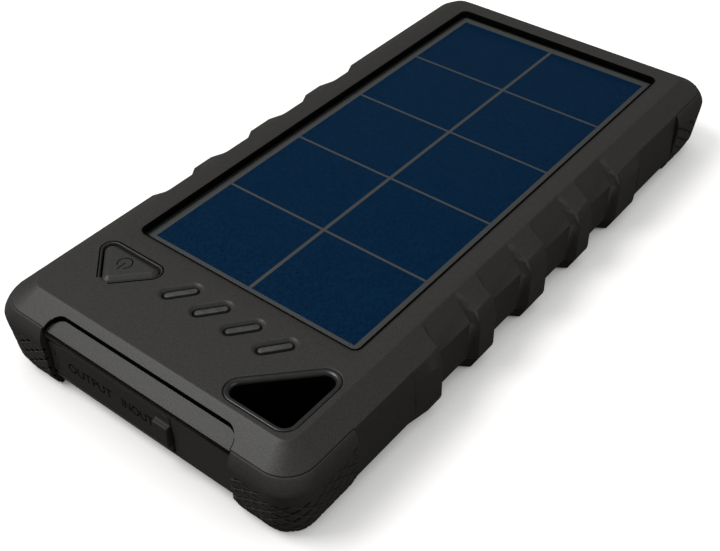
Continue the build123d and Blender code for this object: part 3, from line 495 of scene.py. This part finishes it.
def make_bar(name: str, sections: np.ndarray, finish: Finish, body: str) -> bpy.types.Object:
    """Skin a row of sections into a piece with closed ends.

    Args:
        name: piece name.
        sections: coordinates by section and by point of the section.
        finish: finish of the whole piece.
        body: body that the piece rides on.

    Returns:
        The new object.
    """
    count, sides = sections.shape[:2]
    return make_piece(name, sections.reshape(-1, 3), bar_faces(count, sides), finish, body)


# ---------------------------------------------------------------- sub-assemblies
@dataclass
class Housing:
    """The two plastic halves, the lining of the lanyard hole and the painted shade in the hole and at the
    front step. Sizes in millimetres.
    """

    edge_round: float = 0.28
    base_round: float = 0.25
    deck: float = 20.8
    floor: float = 0.6
    eyelet_corners: tuple[tuple[float, float], ...] = ((11.6, -77.5), (33.9, -77.5), (33.9, -54.25))
    eyelet_radius: float = 3.4
    liner_flat: float = 0.45
    liner_roll: float = 0.85
    front: float = -84.1
    rim_height: float = 17.5
    slope_rise: float = 3.3
    slope_run: float = 5.55
    step_half: float = 25.6
    step_back: float = 3.65
    step_radius: float = 3.4
    step_depth: float = 1.45
    # whatever lies beyond one of these is on the outside of its half
    outer_x: float = 38.9
    outer_y: float = 82.7
    outer_front: float = -82.0
    outer_deck: float = 19.9
    outer_base: float = 1.0

    def build(self) -> list[bpy.types.Object]:
        """Round the outer edges of both halves and build the lining and the painted shade in the hole and
        at the step.
        """
        return [
            softened("upper_housing", "upper_shell", DECK_ABS, HOUSING, self.edge_round, self._outer_top),
            softened("lower_housing", "lower_tray", BASE_ABS, HOUSING, self.base_round, self._outer_base),
            self._liner(),
            self._painted_hole_shade(),
            self._step_shade(),
        ]

    def _outer_top(self, place: np.ndarray) -> np.ndarray:
        """Say which places lie on the outside of the upper housing."""
        x, y, z = np.abs(place[:, 0]), place[:, 1], place[:, 2]
        return (z > self.outer_deck) | (x > self.outer_x) | (y > self.outer_y) | (y < self.outer_front)

    def _outer_base(self, place: np.ndarray) -> np.ndarray:
        """Say which places lie on the outside of the lower housing."""
        x, y, z = np.abs(place[:, 0]), np.abs(place[:, 1]), place[:, 2]
        return (z < self.outer_base) | (x > self.outer_x) | (y > self.outer_y)

    def _liner(self) -> bpy.types.Object:
        """Carry the liner's section round the three-sided hole.

        Its top is a quarter ellipse that rolls from the flange into the tube.
        """
        outline = rounded_outline(np.array(self.eyelet_corners), self.eyelet_radius, ARC_POINTS)
        bend = np.radians(np.linspace(0, 90, 9))
        roll = np.stack([-(self.liner_flat + self.liner_roll * np.sin(bend)),
                         self.deck - self.liner_roll * (1 - np.cos(bend))], axis=1)
        tube = -(self.liner_flat + self.liner_roll)
        flange = self.deck - 0.9
        profile = np.concatenate([
            [[-0.9, self.floor], [-0.9, flange], [-0.12, flange], [-0.12, self.deck - 0.2],
             [-0.2, self.deck - 0.06], [-0.32, self.deck]],
            roll,
            [[tube, self.floor + 0.3], [tube + 0.3, self.floor]]])
        piece = make_tube("eyelet_liner", outline, profile, EYELET_ABS, TUBE_CREASE_DEG)
        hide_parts("lanyard_eyelet")
        return piece

    def _painted_hole_shade(self) -> bpy.types.Object:
        """Painted shade: a thin black sleeve over the wall of the hole, below the roll."""
        outline = rounded_outline(np.array(self.eyelet_corners), self.eyelet_radius, ARC_POINTS)
        wall = -(self.liner_flat + self.liner_roll)
        top = self.deck - self.liner_roll
        profile = np.array([[wall + 0.1, self.floor], [wall + 0.1, top], [wall - 0.02, top],
                            [wall - 0.1, top - 0.2], [wall - 0.1, self.floor]])
        return make_tube("eyelet_painted_shade", outline, profile, PAINTED_SHADE_BLACK, TUBE_CREASE_DEG)

    def _step_shade(self) -> bpy.types.Object:
        """Painted shade: a dark strip at the foot of the step across the front slope.

        It follows the step's outline on the slope, whose height is the rim's plus the slope's
        gradient times the distance behind the rim.
        """
        half, back, r = self.step_half, self.step_back, self.step_radius
        bend = np.radians(np.linspace(0, 90, 16))
        left = np.column_stack([-half + r * (1 - np.cos(bend)), back - r * (1 - np.sin(bend))])
        right = left[::-1] * np.array([-1.0, 1.0])
        middle = np.column_stack([np.linspace(-half + r, half - r, 60)[1:-1], np.full(58, back)])
        path = np.concatenate([left, middle, right])
        way = np.gradient(path, axis=0)
        way /= np.linalg.norm(way, axis=1)[:, None]
        inward = np.column_stack([way[:, 1], -way[:, 0]])
        surface = self.rim_height + path[:, 1] * self.slope_rise / self.slope_run
        wall = np.interp(path[:, 1], [0.0, 0.8], [0.02, self.step_depth])
        lines = []
        # distance in front of the step's wall, and depth as a share of the wall's
        for out, drop in ((0.03, 0.1), (0.03, 1.04), (-0.55, 1.04), (-0.55, 0.55)):
            plan = path + inward * out
            lines.append(np.column_stack([plan[:, 0], plan[:, 1] + self.front, surface - wall * drop]))
        return make_bar("step_painted_shade", np.stack(lines, axis=1), PAINTED_SHADE_BLACK, HOUSING)


@dataclass
class Panel:
    """Clear resin, printed grid and painted shade round the edge of the solar panel. Sizes in millimetres.
    """

    half: tuple[float, float] = (29.65, 62.875)
    gap: float = 0.3        # panel to the wall of its opening
    centre_y: float = 10.625
    radius: float = 1.2
    low: float = 18.74
    high: float = 19.15
    meniscus: float = 0.15
    lip: float = 20.3
    cells_half: tuple[float, float] = (27.75, 60.875)
    lines: tuple[float, float] = (0.85, 0.62)   # widths between columns and between rows
    row_gap: float = 0.5    # bare strip between two rows of cells
    cell_rows: int = 5
    corner_points: int = 10
    straight_step: float = 8.0

    def build(self) -> list[bpy.types.Object]:
        """Lay the clear sheet, the painted shade round the opening and the grid under the sheet."""
        return [self._resin(), self._painted_rim_shade(), self._grid()]

    def _grid(self) -> bpy.types.Object:
        """Grey lines printed between the cells and round them, as one flat grid."""
        hx, hy = self.half[0] - 0.05, self.half[1] - 0.05
        cx, cy = self.cells_half
        bars = [(-hx, -cx, -hy, hy), (cx, hx, -hy, hy), (-cx, cx, -hy, -cy), (-cx, cx, cy, hy)]
        wide, fine = self.lines
        rows = np.linspace(-cy - self.row_gap / 2, cy + self.row_gap / 2, self.cell_rows + 1)[1:-1]
        stops = [-cy, *[edge for row in rows for edge in (row - fine / 2, row + fine / 2)], cy]
        bars += [(-cx, cx, row - fine / 2, row + fine / 2) for row in rows]
        bars += [(-wide / 2, wide / 2, a, b) for a, b in zip(stops[::2], stops[1::2])]
        points, faces = [], []
        for x0, x1, y0, y1 in bars:
            base = len(points)
            points += [(x, y + self.centre_y, z) for z in (self.low - 0.03, self.low - 0.01)
                       for x, y in ((x0, y0), (x1, y0), (x1, y1), (x0, y1))]
            faces += [[base + k for k in ring] for ring in
                      ((3, 2, 1, 0), (4, 5, 6, 7), (0, 1, 5, 4), (1, 2, 6, 5), (2, 3, 7, 6), (3, 0, 4, 7))]
        return make_piece("panel_grid", np.array(points), faces, PANEL_SHEET, HOUSING)

    def _painted_rim_shade(self) -> bpy.types.Object:
        """Painted shade: a thin dark skin on the wall of the opening, up to its lip."""
        ends = rectangle(self.half[0] + self.gap, self.half[1] + self.gap, self.centre_y)
        outline = rounded_outline(ends, self.radius + self.gap, self.corner_points, self.straight_step)
        profile = np.array([[0.1, self.high - 0.2], [0.1, self.lip - 0.1], [0.44, self.lip + 0.32],
                            [0.32, self.lip + 0.4], [-0.08, self.lip], [-0.08, self.high - 0.2]])
        return make_tube("panel_painted_rim_shade", outline, profile, PAINTED_SHADE_BLACK)

    def _resin(self) -> bpy.types.Object:
        """Lay the clear sheet just over the cells, its top edge rounded by surface tension."""
        ends = rectangle(*self.half, self.centre_y)
        outline = rounded_outline(ends, self.radius, self.corner_points, self.straight_step)
        profile = np.array([[0.0, self.low], [0.0, self.high - self.meniscus],
                            [-self.meniscus * 0.3, self.high - self.meniscus * 0.3],
                            [-self.meniscus, self.high]])
        sections = carry_profile(outline, profile).reshape(len(profile), -1, 3)
        piece = make_bar("panel_resin", sections, CLEAR_RESIN, HOUSING)
        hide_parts("solar_resin")
        return piece


@dataclass
class ChargeLights:
    """Slim raised light bars in the middle of the four dished windows. Sizes in millimetres."""

    count: int = 4
    first: tuple[float, float] = (-8.7, -61.5)
    pitch: float = 8.58
    slant_deg: float = 51.0
    half_length: float = 3.45
    half_width: float = 0.72
    low: float = 20.05
    high: float = 20.42

    def build(self) -> bpy.types.Object:
        """Carry a rounded section round each bar and close its top."""
        turn = math.radians(self.slant_deg)
        along = np.array([math.cos(turn), math.sin(turn)])
        across = np.array([-along[1], along[0]])
        points, faces = [], []
        section = np.array([[0.0, self.low], [0.0, self.high - 0.2], [-0.06, self.high - 0.06],
                            [-0.2, self.high]])
        for number in range(self.count):
            middle = np.array(self.first) + np.array([self.pitch * number, 0.0])
            ends = [middle + along * a * self.half_length + across * b * self.half_width
                    for a, b in ((-1, -1), (1, -1), (1, 1), (-1, 1))]
            outline = rounded_outline(np.array(ends), self.half_width - 0.01, 9)
            base = sum(map(len, points))
            count = len(outline[0])
            faces += [[base + k for k in face] for face in bar_faces(len(section), count)]
            points.append(carry_profile(outline, section))
        return make_piece("light_bars", np.concatenate(points), faces, SMOKE_PC, HOUSING)


@dataclass
class Bumper:
    """One rubber corner with its tread of pressed V grooves. Sizes in millimetres."""

    side: int
    end: int
    name: str
    rim_half: tuple[float, float] = (40.35, 84.1)
    rim_radius: float = 6.85
    front_reach: float = 26.0
    arm: float = 17.8
    # height, distance beyond the rim and tightening of the corner, from the foot to the seam
    section: tuple[tuple[float, float, float], ...] = (
        (0.0, -2.0, 0.0), (0.0, -1.4, 0.0), (0.1, -1.08, 0.0), (0.35, -0.84, 0.0), (3.8, 0.52, 0.0),
        (4.6, 0.72, 0.05), (6.5, 0.86, 0.3), (9.0, 1.03, 0.62), (10.5, 1.13, 0.85), (12.0, 1.22, 1.2),
        (13.3, 1.27, 1.45), (14.2, 1.26, 1.55), (14.9, 1.14, 1.35), (15.6, 0.93, 1.0), (16.2, 0.7, 0.7),
        (16.8, 0.4, 0.35), (17.2, 0.15, 0.1), (17.36, -0.1, 0.0), (17.38, -0.5, 0.0), (17.38, -2.0, 0.0))
    step: float = 0.13
    lozenge: tuple[float, float] = (2.04, 1.4)
    groove_depth: float = 0.85
    groove_half: float = 0.22
    long_arm: float = 0.74      # arms of a V as shares of the lozenge
    short_arm: float = 0.62
    thin_depth: float = 0.6     # depth of the long arm as a share of the short one's
    crease_deg: float = 40.0
    # faces whose groove is deeper than this share of groove_depth are painted black as shade
    painted_shade_depth_share: float = 0.35
    tread_top: tuple[float, float] = (11.6, 14.4)

    def build(self) -> bpy.types.Object:
        """Carry the section round the corner, press the tread in, close the ends and paint the deep
        grooves black as painted shade.
        """
        section = self._fine_section()
        points, normal, along = self._surface(section)
        reach = np.interp(np.abs(along), [0.0, np.abs(along).max()], self.tread_top)
        height = points[:, :, 2]
        sunk = self._tread(np.broadcast_to(along, height.shape), height, reach[None])
        flat = section[:, 1] > -1.3
        sunk *= (flat[:, None] & (height < 17.0))
        points[:, :, :2] -= normal[None] * sunk[:, :, None]
        rows, columns = height.shape
        faces = grid_faces(rows, columns, False) + self._close(rows, columns)
        flip = self.side * self.end
        body = points.reshape(-1, 3) * np.array([self.side, -self.end, 1.0])
        if flip > 0:
            faces = [f[::-1] for f in faces]
        piece = make_piece(self.name + "_tread", body, faces, SOFT_TPE, HOUSING, self.crease_deg)
        # the deep faces of the grooves take the black of painted shade
        piece.data.materials.append(ENGRAVING_SHADE.material())
        shade_painted_faces = np.zeros(len(faces), np.int32)
        middle = (sunk[:-1, :-1] + sunk[1:, :-1] + sunk[:-1, 1:] + sunk[1:, 1:]) / 4
        shade_painted_faces[:middle.size] = (middle > self.painted_shade_depth_share * self.groove_depth).ravel()
        piece.data.polygons.foreach_set("material_index", shade_painted_faces)
        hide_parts(self.name)
        return piece

    def _surface(self, section: np.ndarray) -> tuple[np.ndarray, np.ndarray, np.ndarray]:
        """Run the section round the corner at plus X and minus Y.

        At each height the outline is the rim's, moved out, with a corner arc whose radius is the
        rim's plus the distance out less the tightening. Straight arms stretch to meet the arc.

        Args:
            section: rows of height, distance beyond the rim and tightening.

        Returns:
            Points by row and column, outward normals by column, and the distance along the rim
            from the corner's middle by column.
        """
        hx, hy = self.rim_half
        quarter = math.pi * self.rim_radius / 2
        front = hx - self.rim_radius - self.front_reach
        side = self.arm - self.rim_radius
        columns = int((front + quarter + side) / self.step)
        t = np.linspace(-front - quarter / 2, side + quarter / 2, columns)
        turn = np.clip((t + quarter / 2) / self.rim_radius, 0, math.pi / 2)
        normal = np.stack([np.sin(turn), -np.cos(turn)], axis=1)
        height, out, tight = (section[:, k, None] for k in range(3))
        radius = self.rim_radius + out - tight
        middle_x = hx + out - radius
        middle_y = -hy - out + radius
        front_share = np.clip((-t - quarter / 2) / front, 0, 1)
        side_share = np.clip((t - quarter / 2) / side, 0, 1)
        x = middle_x + radius * normal[:, 0] + front_share * (self.front_reach - middle_x)
        y = middle_y + radius * normal[:, 1] + side_share * (-hy + self.arm - middle_y)
        return np.stack([x, y, np.broadcast_to(height, x.shape)], axis=2), normal, t

    def _fine_section(self) -> np.ndarray:
        """Divide the section to the tread's step, by length along it."""
        rough = np.array(self.section)
        run = np.concatenate([[0], np.cumsum(np.linalg.norm(np.diff(rough[:, :2], axis=0), axis=1))])
        fine = np.union1d(np.arange(0, run[-1], self.step), run)
        return np.stack([np.interp(fine, run, rough[:, k]) for k in (0, 1, 2)], axis=1)

    def _tread(self, along: np.ndarray, height: np.ndarray, top: np.ndarray) -> np.ndarray:
        """Depth of the V grooves.

        Grooves stand on a slanted lattice. From each lattice point a long thin groove runs up
        towards the corner and a short wide one runs up away from it. A groove has a flat bottom
        and walls that slope over its half width.

        Args:
            along: distance along the rim from the corner's middle.
            height: height above the ground.
            top: height where the tread stops, at each place along.

        Returns:
            Depth at each point.
        """
        u = np.abs(along)
        half, rise = self.lozenge
        depth = np.zeros_like(height)
        column = np.round(u / half)
        for shift in (-1, 0, 1, 2):
            foot_u = (column + shift) * half
            base = (-rise * (column + shift)) % (2 * rise)
            row = np.floor((height - base) / (2 * rise))
            for lift in (-1, 0, 1):
                foot_z = base + (row + lift) * 2 * rise
                kept = (foot_z + 1.1 * rise < top) & (foot_u > -0.1)
                long_arm = self._near(u, height, foot_u, foot_z, -self.long_arm * half,
                                      self.long_arm * rise)
                short_arm = self._near(u, height, foot_u, foot_z, self.short_arm * half,
                                       self.short_arm * rise)
                deep = np.clip(1.5 - short_arm / self.groove_half, 0, 1)
                thin = self.thin_depth * np.clip(1.4 - 1.4 * long_arm / self.groove_half, 0, 1)
                depth = np.maximum(depth, np.where(kept, np.maximum(deep, thin), 0.0))
        return depth * self.groove_depth

    @staticmethod
    def _near(u: np.ndarray, z: np.ndarray, u0: np.ndarray, z0: np.ndarray, du: float,
              dz: float) -> np.ndarray:
        """Distance from points to the segment that starts at (u0, z0) and runs by (du, dz)."""
        t = np.clip(((u - u0) * du + (z - z0) * dz) / (du * du + dz * dz), 0, 1)
        return np.hypot(u - u0 - t * du, z - z0 - t * dz)

    @staticmethod
    def _close(rows: int, columns: int) -> list[list[int]]:
        """Faces that close the inner wall and both ends of the bumper."""
        last = (rows - 1) * columns
        back = [[last + c, last + c + 1, c + 1, c] for c in range(columns - 1)]
        start = [r * columns for r in range(rows)]
        stop = [r * columns + columns - 1 for r in range(rows)]
        return back + [start, stop[::-1]]


@dataclass
class Words:
    """Generic words sunk in the port cover, painted black as their shade. Sizes in millimetres."""

    texts: tuple[tuple[str, float, float], ...] = (("OUTPUT", -20.05, -7.1), ("INOUT", -4.3, 4.6))
    low: float = 8.6
    high: float = 11.0
    face_y: float = -83.9
    proud: float = 0.02
    sunk: float = 0.25

    def build(self) -> list[bpy.types.Object]:
        """Fit each word between its two ends and return the pieces."""
        return [self._word(*text) for text in self.texts]

    def _word(self, text: str, x0: float, x1: float) -> bpy.types.Object:
        """Make one word as a thin black sheet in the cover's face, painted shade of the sunk letters.

        Args:
            text: the word.
            x0: left end.
            x1: right end.

        Returns:
            The new piece.
        """
        curve = bpy.data.curves.new("word_" + text.lower(), "FONT")
        curve.body = text
        curve.extrude = 0.5     # in the letters' own units, before they are fitted
        curve.offset = 0.004
        holder = bpy.data.objects.new(curve.name, curve)
        bpy.context.scene.collection.objects.link(holder)
        graph = bpy.context.evaluated_depsgraph_get()
        mesh = bpy.data.meshes.new_from_object(holder.evaluated_get(graph))
        bpy.data.objects.remove(holder)
        flat = np.zeros(len(mesh.vertices) * 3)
        mesh.vertices.foreach_get("co", flat)
        flat = flat.reshape(-1, 3)
        low, high = flat.min(0), flat.max(0)
        share = (flat - low) / (high - low)
        placed = np.stack([x0 + share[:, 0] * (x1 - x0),
                           self.face_y - self.proud + (1 - share[:, 2]) * self.sunk,
                           self.low + share[:, 1] * (self.high - self.low)], axis=1)
        mesh.vertices.foreach_set("co", (placed * MM).ravel())
        mesh.update()
        mesh.name = curve.name
        return place_mesh("cover_word_" + text.lower(), mesh, ENGRAVING_SHADE, COVER)


@dataclass
class PortCover:
    """Rubber port cover with its pull tab, and its straps to the fixed anchor."""

    edge_round: float = 0.3
    strap_spans: tuple[tuple[float, float], ...] = ((5.1, 7.3), (7.55, 10.9), (11.15, 13.6))
    strap_thickness: float = 0.75
    hinge_x: float = -23.75
    face_y: float = -83.9
    reach: float = 0.9
    cover_reach: float = 1.75
    waist: float = 0.1

    def build(self) -> list[bpy.types.Object]:
        """Build the cover, its anchor, the straps and the words."""
        cover = softened("port_cover", "cover_flap", COVER_TPE, COVER, self.edge_round)
        anchor = softened("cover_anchor", "cover_root", COVER_TPE, HOUSING, 0.12)
        straps = [self._strap(index, *span) for index, span in enumerate(self.strap_spans)]
        return [cover, anchor, *straps, *Words().build()]

    def _strap(self, index: int, low: float, high: float) -> bpy.types.Object:
        """Bridge one strap across the hinge line with a fixed mesh.

        The strap is a bar that thins towards its middle by waist times (1 - t squared).

        Args:
            index: number of the strap.
            low: its lower edge.
            high: its upper edge.

        Returns:
            The strap, a fixed piece between the housing and the cover.
        """
        t = np.linspace(-1, 1, 21)
        thinned = self.waist * (1 - t ** 2)
        x = self.hinge_x + np.where(t < 0, t * self.reach, t * self.cover_reach)
        y0 = self.face_y + 0.01 + thinned
        y1 = np.full_like(t, self.face_y + self.strap_thickness)
        z0, z1 = np.full_like(t, low), np.full_like(t, high)
        ring = np.stack([np.stack(p, axis=1) for p in
                         ((x, y0, z0), (x, y0, z1), (x, y1, z1), (x, y1, z0))], axis=1)
        piece = make_bar(f"cover_strap_{index + 1}", ring, COVER_TPE, COVER)
        piece.parent = None
        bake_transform(piece)
        return piece


@dataclass
class PowerButton:
    """Tongue button: a three-sided cap joined to the deck at its tip, with the power sign."""

    corners: tuple[tuple[float, float], ...] = ((-34.6, -58.9), (-23.95, -70.05), (-13.3, -58.9))
    radius: float = 2.0
    corner_points: int = 41
    gap: float = 0.4
    top: float = 21.1
    deck: float = 20.8
    # width of the painted shade round the slit
    slit_shade_width: float = 0.3
    tip_end: float = -68.75
    bend_y: tuple[float, float] = (-69.3, -68.2)
    sign_centre: tuple[float, float] = (-23.95, -62.7)
    sign_radius: float = 1.65
    sign_width: float = 0.26
    sign_open_deg: float = 32.0
    sign_bar: tuple[float, float] = (-2.35, 0.1)

    def build(self) -> list[bpy.types.Object]:
        """Build the cap, the living hinge at its tip, the painted shade round its slit and the sign."""
        cap = softened("power_button", "button_cap", BUTTON_ABS, BUTTON, 0.15)
        return [cap, self._hinge(), self._painted_slit_shade(), self._sign_ring(), self._sign_bar()]

    def _painted_slit_shade(self) -> bpy.types.Object:
        """Painted shade: a dark band round the slit of the cap, which stops at both sides of the tip."""
        base, normal = rounded_outline(np.array(self.corners), self.radius, self.corner_points)
        first = int(np.argmin(base[:, 1]))
        base, normal = np.roll(base, -first, axis=0), np.roll(normal, -first, axis=0)
        kept = base[:, 1] > self.tip_end
        near, far = self.gap - 0.04, self.gap + self.slit_shade_width
        low, high = self.deck - 0.5, self.deck + 0.012
        section = np.array([[near, low], [far, low], [far, high], [near, high]])
        points = carry_profile((base[kept], normal[kept]), section)
        count = int(kept.sum())
        points = points.reshape(len(section), count, 3).transpose(1, 0, 2)
        return make_bar("button_painted_slit_shade", points, PAINTED_SHADE_BLACK, HOUSING)

    def _hinge(self) -> bpy.types.Object:
        """Strip round the tip that joins the deck to the cap."""
        base, normal = rounded_outline(np.array(self.corners), self.radius, self.corner_points)
        tip = base[:, 1] < self.tip_end
        base, normal = base[tip], normal[tip]
        order = np.argsort(base[:, 0])
        base, normal = base[order], normal[order]
        section = np.array([[0.4, self.deck - 0.01], [0.0, self.deck - 0.01], [-0.35, self.deck - 0.2],
                            [-0.6, self.deck - 0.38], [-0.6, self.deck - 0.9], [0.4, self.deck - 0.9]])
        points = carry_profile((base, normal), section).reshape(len(section), len(base), 3)
        points = points.transpose(1, 0, 2)
        piece = make_bar("button_living_hinge", points, DECK_ABS, BUTTON)
        piece.parent = None
        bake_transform(piece)
        return piece

    def _ribbon(self, name: str, left: np.ndarray, right: np.ndarray) -> bpy.types.Object:
        """Close a thin ribbon between two lines, a hair proud of the cap and 0.2 mm into it.

        Args:
            name: piece name.
            left: points of one edge, in plan.
            right: points of the other edge.

        Returns:
            The new piece.
        """
        up, down = self.top + 0.015, self.top - 0.2
        lines = [np.column_stack([edge, np.full(len(edge), z)])
                 for edge, z in ((left, up), (right, up), (right, down), (left, down))]
        # the ribbon's black is painted shade of the sunk sign
        return make_bar(name, np.stack(lines, axis=1), ENGRAVING_SHADE, BUTTON)

    def _sign_ring(self) -> bpy.types.Object:
        """Open ring of the power sign, its gap towards the ports."""
        turn = np.radians(np.linspace(-90 + self.sign_open_deg, 270 - self.sign_open_deg, 60))
        way = np.column_stack([np.cos(turn), np.sin(turn)])
        centre = np.array(self.sign_centre)
        half = self.sign_width / 2
        return self._ribbon("power_sign_ring", centre + way * (self.sign_radius + half),
                            centre + way * (self.sign_radius - half))

    def _sign_bar(self) -> bpy.types.Object:
        """Bar of the power sign, through the ring's gap."""
        y = np.linspace(*self.sign_bar, 8) + self.sign_centre[1]
        middle = self.sign_centre[0]
        left, right = (np.column_stack([np.full_like(y, middle + way * self.sign_width / 2), y])
                       for way in (-1, 1))
        return self._ribbon("power_sign_bar", left, right)


# ---------------------------------------------------------------- stage
@dataclass
class Studio:
    """Pale floor, soft lamps and the camera. Lengths in metres."""

    aim: tuple[float, float, float] = (0.00965, -0.02535, 0.010)
    distance: float = 0.2462
    azimuth_deg: float = 38.07
    elevation_deg: float = 41.41
    lens: float = 55.2
    clip: tuple[float, float] = (0.01, 20.0)
    floor_half: float = 3.0
    floor_grey: str = "C4C2BF"
    glow: float = 0.78      # light of the floor, which the object shades close by
    shade_reach: float = 0.03
    shade_samples: int = 8
    bounce_grey: str = "5C5A57"
    world_light: float = 0.2
    # name, place, size and watts of each soft lamp
    lamps: tuple[tuple[str, tuple[float, float, float], float, float], ...] = (
        ("key_overhead", (-0.45, -0.40, 0.87), 0.5, 9.2),
        ("fill_right", (0.95, 0.1, 0.42), 0.8, 2.4),
    )

    def build(self) -> None:
        """Make the camera, the floor, the world and the lamps."""
        self._camera()
        self._floor()
        self._world()
        for name, place, size, watts in self.lamps:
            self._lamp(name, place, size, watts)
        bpy.context.scene.view_settings.view_transform = "Standard"

    def _camera(self) -> None:
        """Aim the camera at the object from its azimuth and elevation."""
        a, e = math.radians(self.azimuth_deg), math.radians(self.elevation_deg)
        back = Vector((math.sin(a) * math.cos(e), -math.cos(a) * math.cos(e), math.sin(e)))
        data = bpy.data.cameras.new("camera")
        data.lens = self.lens
        data.clip_start, data.clip_end = self.clip
        camera = bpy.data.objects.new("camera", data)
        bpy.context.scene.collection.objects.link(camera)
        camera.location = Vector(self.aim) + back * self.distance
        camera.rotation_mode = "QUATERNION"
        camera.rotation_quaternion = (-back).to_track_quat("-Z", "Y")
        bpy.context.scene.camera = camera

    def _floor(self) -> None:
        """Lay a broad floor, pale with a soft shadow to the camera and darker to all other rays."""
        h = self.floor_half
        mesh = bpy.data.meshes.new("floor")
        mesh.from_pydata([(-h, -h, 0), (h, -h, 0), (h, h, 0), (-h, h, 0)], [], [(0, 1, 2, 3)])
        floor = bpy.data.objects.new("floor", mesh)
        bpy.context.scene.collection.objects.link(floor)
        paper = bpy.data.materials.new("white_card")
        paper.use_nodes = True
        tree = paper.node_tree
        tree.nodes.clear()
        ray = add_node(tree, "ShaderNodeLightPath")
        card = add_node(tree, "ShaderNodeBsdfDiffuse", values={"Color": linear(self.floor_grey)})
        dim = add_node(tree, "ShaderNodeBsdfDiffuse", values={"Color": linear(self.bounce_grey)})
        open_sky = add_node(tree, "ShaderNodeAmbientOcclusion", {"samples": self.shade_samples},
                            {"Distance": self.shade_reach})
        glow = add_node(tree, "ShaderNodeEmission", values={"Strength": self.glow},
                        links={"Color": open_sky.outputs["Color"]})
        lit = add_node(tree, "ShaderNodeAddShader", links={0: card.outputs[0], 1: glow.outputs[0]})
        pick = add_node(tree, "ShaderNodeMixShader", links={
            "Fac": ray.outputs["Is Camera Ray"], 1: dim.outputs[0], 2: lit.outputs[0]})
        add_node(tree, "ShaderNodeOutputMaterial", links={"Surface": pick.outputs[0]})
        mesh.materials.append(paper)

    def _world(self) -> None:
        """Plain white room, at full strength only for what the camera sees."""
        world = bpy.data.worlds.new("room")
        bpy.context.scene.world = world
        world.use_nodes = True
        tree = world.node_tree
        tree.nodes.clear()
        ray = add_node(tree, "ShaderNodeLightPath")
        level = add_node(tree, "ShaderNodeMapRange", links={"Value": ray.outputs["Is Camera Ray"]},
                         values={"To Min": self.world_light, "To Max": 1.0})
        sky = add_node(tree, "ShaderNodeBackground", values={"Color": (1, 1, 1, 1)},
                       links={"Strength": level.outputs["Result"]})
        add_node(tree, "ShaderNodeOutputWorld", links={"Surface": sky.outputs[0]})

    def _lamp(self, name: str, place: tuple[float, float, float], size: float, watts: float) -> None:
        """Hang one square soft lamp, turned to the object."""
        data = bpy.data.lights.new(name, "AREA")
        data.size = size
        data.energy = watts
        lamp = bpy.data.objects.new(name, data)
        bpy.context.scene.collection.objects.link(lamp)
        lamp.location = place
        lamp.rotation_mode = "QUATERNION"
        lamp.rotation_quaternion = (Vector(self.aim) - Vector(place)).to_track_quat("-Z", "Y")


def dress(nodes: dict[str, bpy.types.Object]) -> None:
    """Give every node of the frame its finish.

    Args:
        nodes: the frame's nodes by name.
    """
    for name, node in nodes.items():
        node.data.materials.clear()
        node.data.materials.append(NODE_FINISHES[name].material())


def corners(box: tuple[Vector, Vector]) -> list[list[float]]:
    """Turn a box's two corners into plain lists."""
    return [list(map(float, corner)) for corner in box]


def main() -> None:
    """Build the charger round its frame."""
    logging.basicConfig(level=logging.INFO, format="%(name)s: %(message)s")
    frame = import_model()
    Studio().build()
    dress(frame["nodes"])
    made = Housing().build()
    made += Panel().build()
    made.append(ChargeLights().build())
    for end_name, end in (("front", 1), ("rear", -1)):
        for side_name, side in (("left", -1), ("right", 1)):
            made.append(Bumper(side, end, f"bumper_{end_name}_{side_name}").build())
    made += PortCover().build()
    made += PowerButton().build()
    for piece in made:
        LOG.info("%s: %d faces", piece.name, len(piece.data.polygons))


if __name__ == "__main__":
    main()
